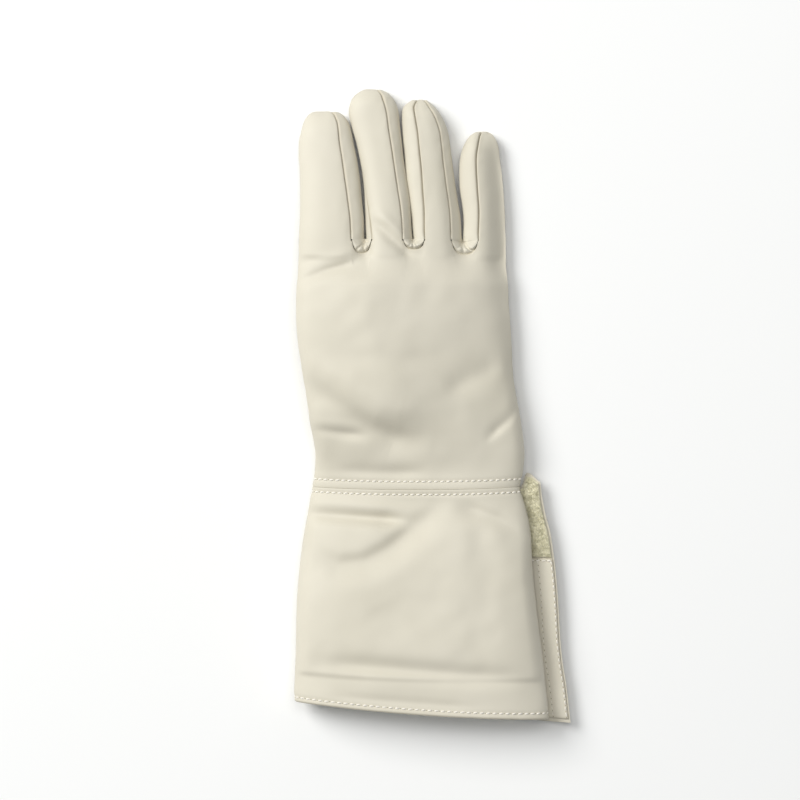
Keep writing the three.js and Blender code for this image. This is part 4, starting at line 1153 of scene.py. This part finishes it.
def knot(row, seed):
    """Pocket from the back's U-shaped edge forward to the gap between the fingers, where it takes
    up their round sides as a valley, then down to the palm; it puffs up between its creases."""
    before, after = FINGERS[row["gap"] - 1], FINGERS[row["gap"]]
    u = np.linspace(0, 1, KNOT_COLUMNS + 1)[None, :]
    v = np.linspace(0, 1, KNOT_ROWS + 1)[:, None]
    forward = np.clip(v / KNOT_TURN, 0, 1)
    down = np.clip((v - KNOT_TURN) / (1 - KNOT_TURN), 0, 1)
    sides, ends = [], []
    for finger, side, turn, inward in ((before, "Right", 1, 2 * u), (after, "Left", -1, 2 - 2 * u)):
        back, palm = finger["back" + side][0], finger["palm" + side][0]
        angle = mix(mix(back, turn * KNOT_VALLEY_ANGLE, np.minimum(inward, 1)), palm, down)
        sides.append(finger_point(finger, angle, 0.0, 0.0))
        ends.append(finger_point(finger, back, 0.0, 0.0))
    valley = mix(*sides, mix(soft_step(0.3, 0.7, u), u * np.ones_like(v), down)[..., None])
    edge = mix(*ends, u[..., None])
    edge[..., 2] += crotch_sag(row["gap"], u)
    dip = crotch_dip(u, BACK_COMB["depth"][row["gap"] - 1] + KNOT_TUCK)
    over = soft_step(0, 0.35, forward) * soft_step(1, 0.4, forward)
    inside = (4 * u * (1 - u)) ** 0.7
    random = np.random.default_rng(seed)
    rise = row["puff"] * over * inside + 0.25 * over * value_noise(24 * u, 18 * v, 3, 3, seed)
    for start_across, end_across, depth in row["creases"]:
        waver = 0.03 * np.sin(7 * forward + random.uniform(0, 6))
        across = mix(end_across, start_across, forward ** 0.8) + waver
        strength = depth * soft_step(-0.1, 0.3, forward) * (1 - 0.6 * forward ** 4)
        rise = rise - strength * np.exp(-((u - across) / mix(0.05, 0.075, forward)) ** 2)
    settle = soft_step(0, 1, forward)
    x = mix(edge[..., 0], valley[..., 0], settle)
    tucked = edge[..., 2] - 0.8 * (1 - soft_step(0, 0.16, forward))
    z = mix(tucked, valley[..., 2], settle) + rise * (1 - down)
    ahead = SOLID_GAP + 0.6 * np.sin(np.pi * down)
    y = valley[..., 1] - dip * (1 - forward) + ahead * forward
    z = z - (1 - down) * mix(*crotch_shares("back", row["gap"]), u) * fold_depth(x, y)

    def place(inset):
        return points(x, y - inset * forward, z - inset * (1 - forward))

    sheet_piece(row["name"], place, np.ones((KNOT_ROWS, KNOT_COLUMNS), bool), STRIP_WALL,
                radius=0.1, flip=True, calm=lambda x, y: 0.0)


for seed, row in enumerate(KNOTS, 81):
    knot(row, seed)

LOOP_YARN = 0.22
LOOP_COUNT = 3000


def loop_pile(name, grid, count, seed):
    """Pile of the loop strip: small arches of yarn, radius r (d cos pi t + n sin pi t), each about
    its own direction d in the strip's face."""
    random = np.random.default_rng(seed)
    base, up = grid_line(grid, *(random.uniform(1, size - 2, count) for size in grid.shape[:2]))
    heading = random.uniform(0, 2 * np.pi, count)[:, None]
    up = up + random.uniform(-0.35, 0.35, (count, 3))
    up /= np.linalg.norm(up, axis=1, keepdims=True)
    flat = np.concatenate([np.cos(heading), np.sin(heading), 0 * heading], axis=1)
    flat -= up * (flat * up).sum(axis=1, keepdims=True)
    flat /= np.linalg.norm(flat, axis=1, keepdims=True)
    across = np.cross(up, flat)
    radius = random.uniform(0.35, 0.6, count)[:, None, None]
    t = np.pi * np.linspace(0, 1, 7)[:, None]
    outward = flat[:, None] * np.cos(t) + up[:, None] * np.sin(t)
    spine = base[:, None] + radius * outward
    turn = 2 * np.pi * np.arange(4) / 4
    rings = spine[:, :, None] + LOOP_YARN / 2 * (
        outward[:, :, None] * np.cos(turn)[:, None] + across[:, None, None] * np.sin(turn)[:, None])
    dress(tubes(name, rings, flip=True), SLOTS["loop_tape"], "loop_tape")


loop_pile("loop_strip_pile", loop_grid, LOOP_COUNT, 96)

# Stitching: a double row along the wrist, one along the hem, two on the facing, one under the loops.
# The facing's three rows are placed by its grid's row and column numbers.
FACING_COLUMNS = (21.6, 10.6)
UNDER_LOOPS_ROW = 1.8
UNDER_LOOPS_COLUMNS = (4, 22.6)


def row_number(places, place):
    """Number, with its fraction, of the grid row at a place, from the places of all rows."""
    return np.interp(place, places, np.arange(len(places)))


across_back = np.linspace(3, back_grid.shape[1] - 4, 400)
across_cuff = np.linspace(2, cuff_grid.shape[1] - 3, 400)
down_facing = np.linspace(1, facing_grid.shape[0] - 2, 200)
stitches("wrist_stitching", [
    grid_line(back_grid, row_number(back_rows, WRIST_ROW_ABOVE), across_back),
    grid_line(cuff_grid, row_number(cuff_rows[:, 0], WRIST_ROW_BELOW / CUFF_LENGTH), across_cuff),
], STITCH_PITCH, seed=91)
hem_in = mix(*HEM_ROW_IN, (across_cuff / CUFF_BACK_CELLS[1]) ** 2)
hem_line = grid_line(cuff_grid, row_number(cuff_rows[:, 0], 1 - hem_in / CUFF_LENGTH), across_cuff)
stitches("hem_stitching", [hem_line], HEM_PITCH, seed=92)
outer_line, inner_line = (grid_line(facing_grid, down_facing, column) for column in FACING_COLUMNS)
stitches("facing_stitching", [outer_line], STITCH_PITCH, 2.3, 0.85, seed=93)
stitches("facing_inner_stitching", [inner_line], STITCH_PITCH, 1.5, 0.5, seed=95)
loops_line = grid_line(facing_grid, UNDER_LOOPS_ROW, np.linspace(*UNDER_LOOPS_COLUMNS, 60))
stitches("loop_strip_stitching", [loops_line], 3.2, 2.6, 1.0, seed=94)

# Floor and light
FLOOR_HALF = 15
floor_mesh = bpy.data.meshes.new("floor")
floor_mesh.from_pydata(
    [(FLOOR_HALF * x, FLOOR_HALF * y, 0) for x, y in ((-1, -1), (1, -1), (1, 1), (-1, 1))],
    [], [(0, 1, 2, 3)])
floor = bpy.data.objects.new("floor", floor_mesh)
bpy.context.scene.collection.objects.link(floor)
floor_material, _, floor_shader = new_material("floor_white")
floor_shader.inputs["Base Color"].default_value = linear(FLOOR_COLOUR)
floor_shader.inputs["Roughness"].default_value = 0.9
floor.data.materials.append(floor_material)

world = bpy.data.worlds.new("studio")
bpy.context.scene.world = world
world.use_nodes = True
background = world.node_tree.nodes["Background"]
background.inputs["Color"].default_value = linear(SKY_COLOUR)
background.inputs["Strength"].default_value = 0.2
bpy.context.scene.view_settings.view_transform = "Standard"

LIGHTS = [
    {"name": "key_upper_left", "place": (-2.3, 1.5, 2.6), "size": 2.4, "power": 122},
    {"name": "soft_top", "place": (0.1, 0.3, 2.6), "size": 1.6, "power": 24},
]
for row in LIGHTS:
    data = bpy.data.lights.new(row["name"], "AREA")
    data.shape = "DISK"
    data.size = row["size"]
    data.energy = row["power"]
    light = bpy.data.objects.new(row["name"], data)
    light.location = row["place"]
    light.rotation_euler = (Vector((0, 0, 0)) - light.location).to_track_quat("-Z", "Y").to_euler()
    bpy.context.scene.collection.objects.link(light)

bpy.context.view_layer.update()
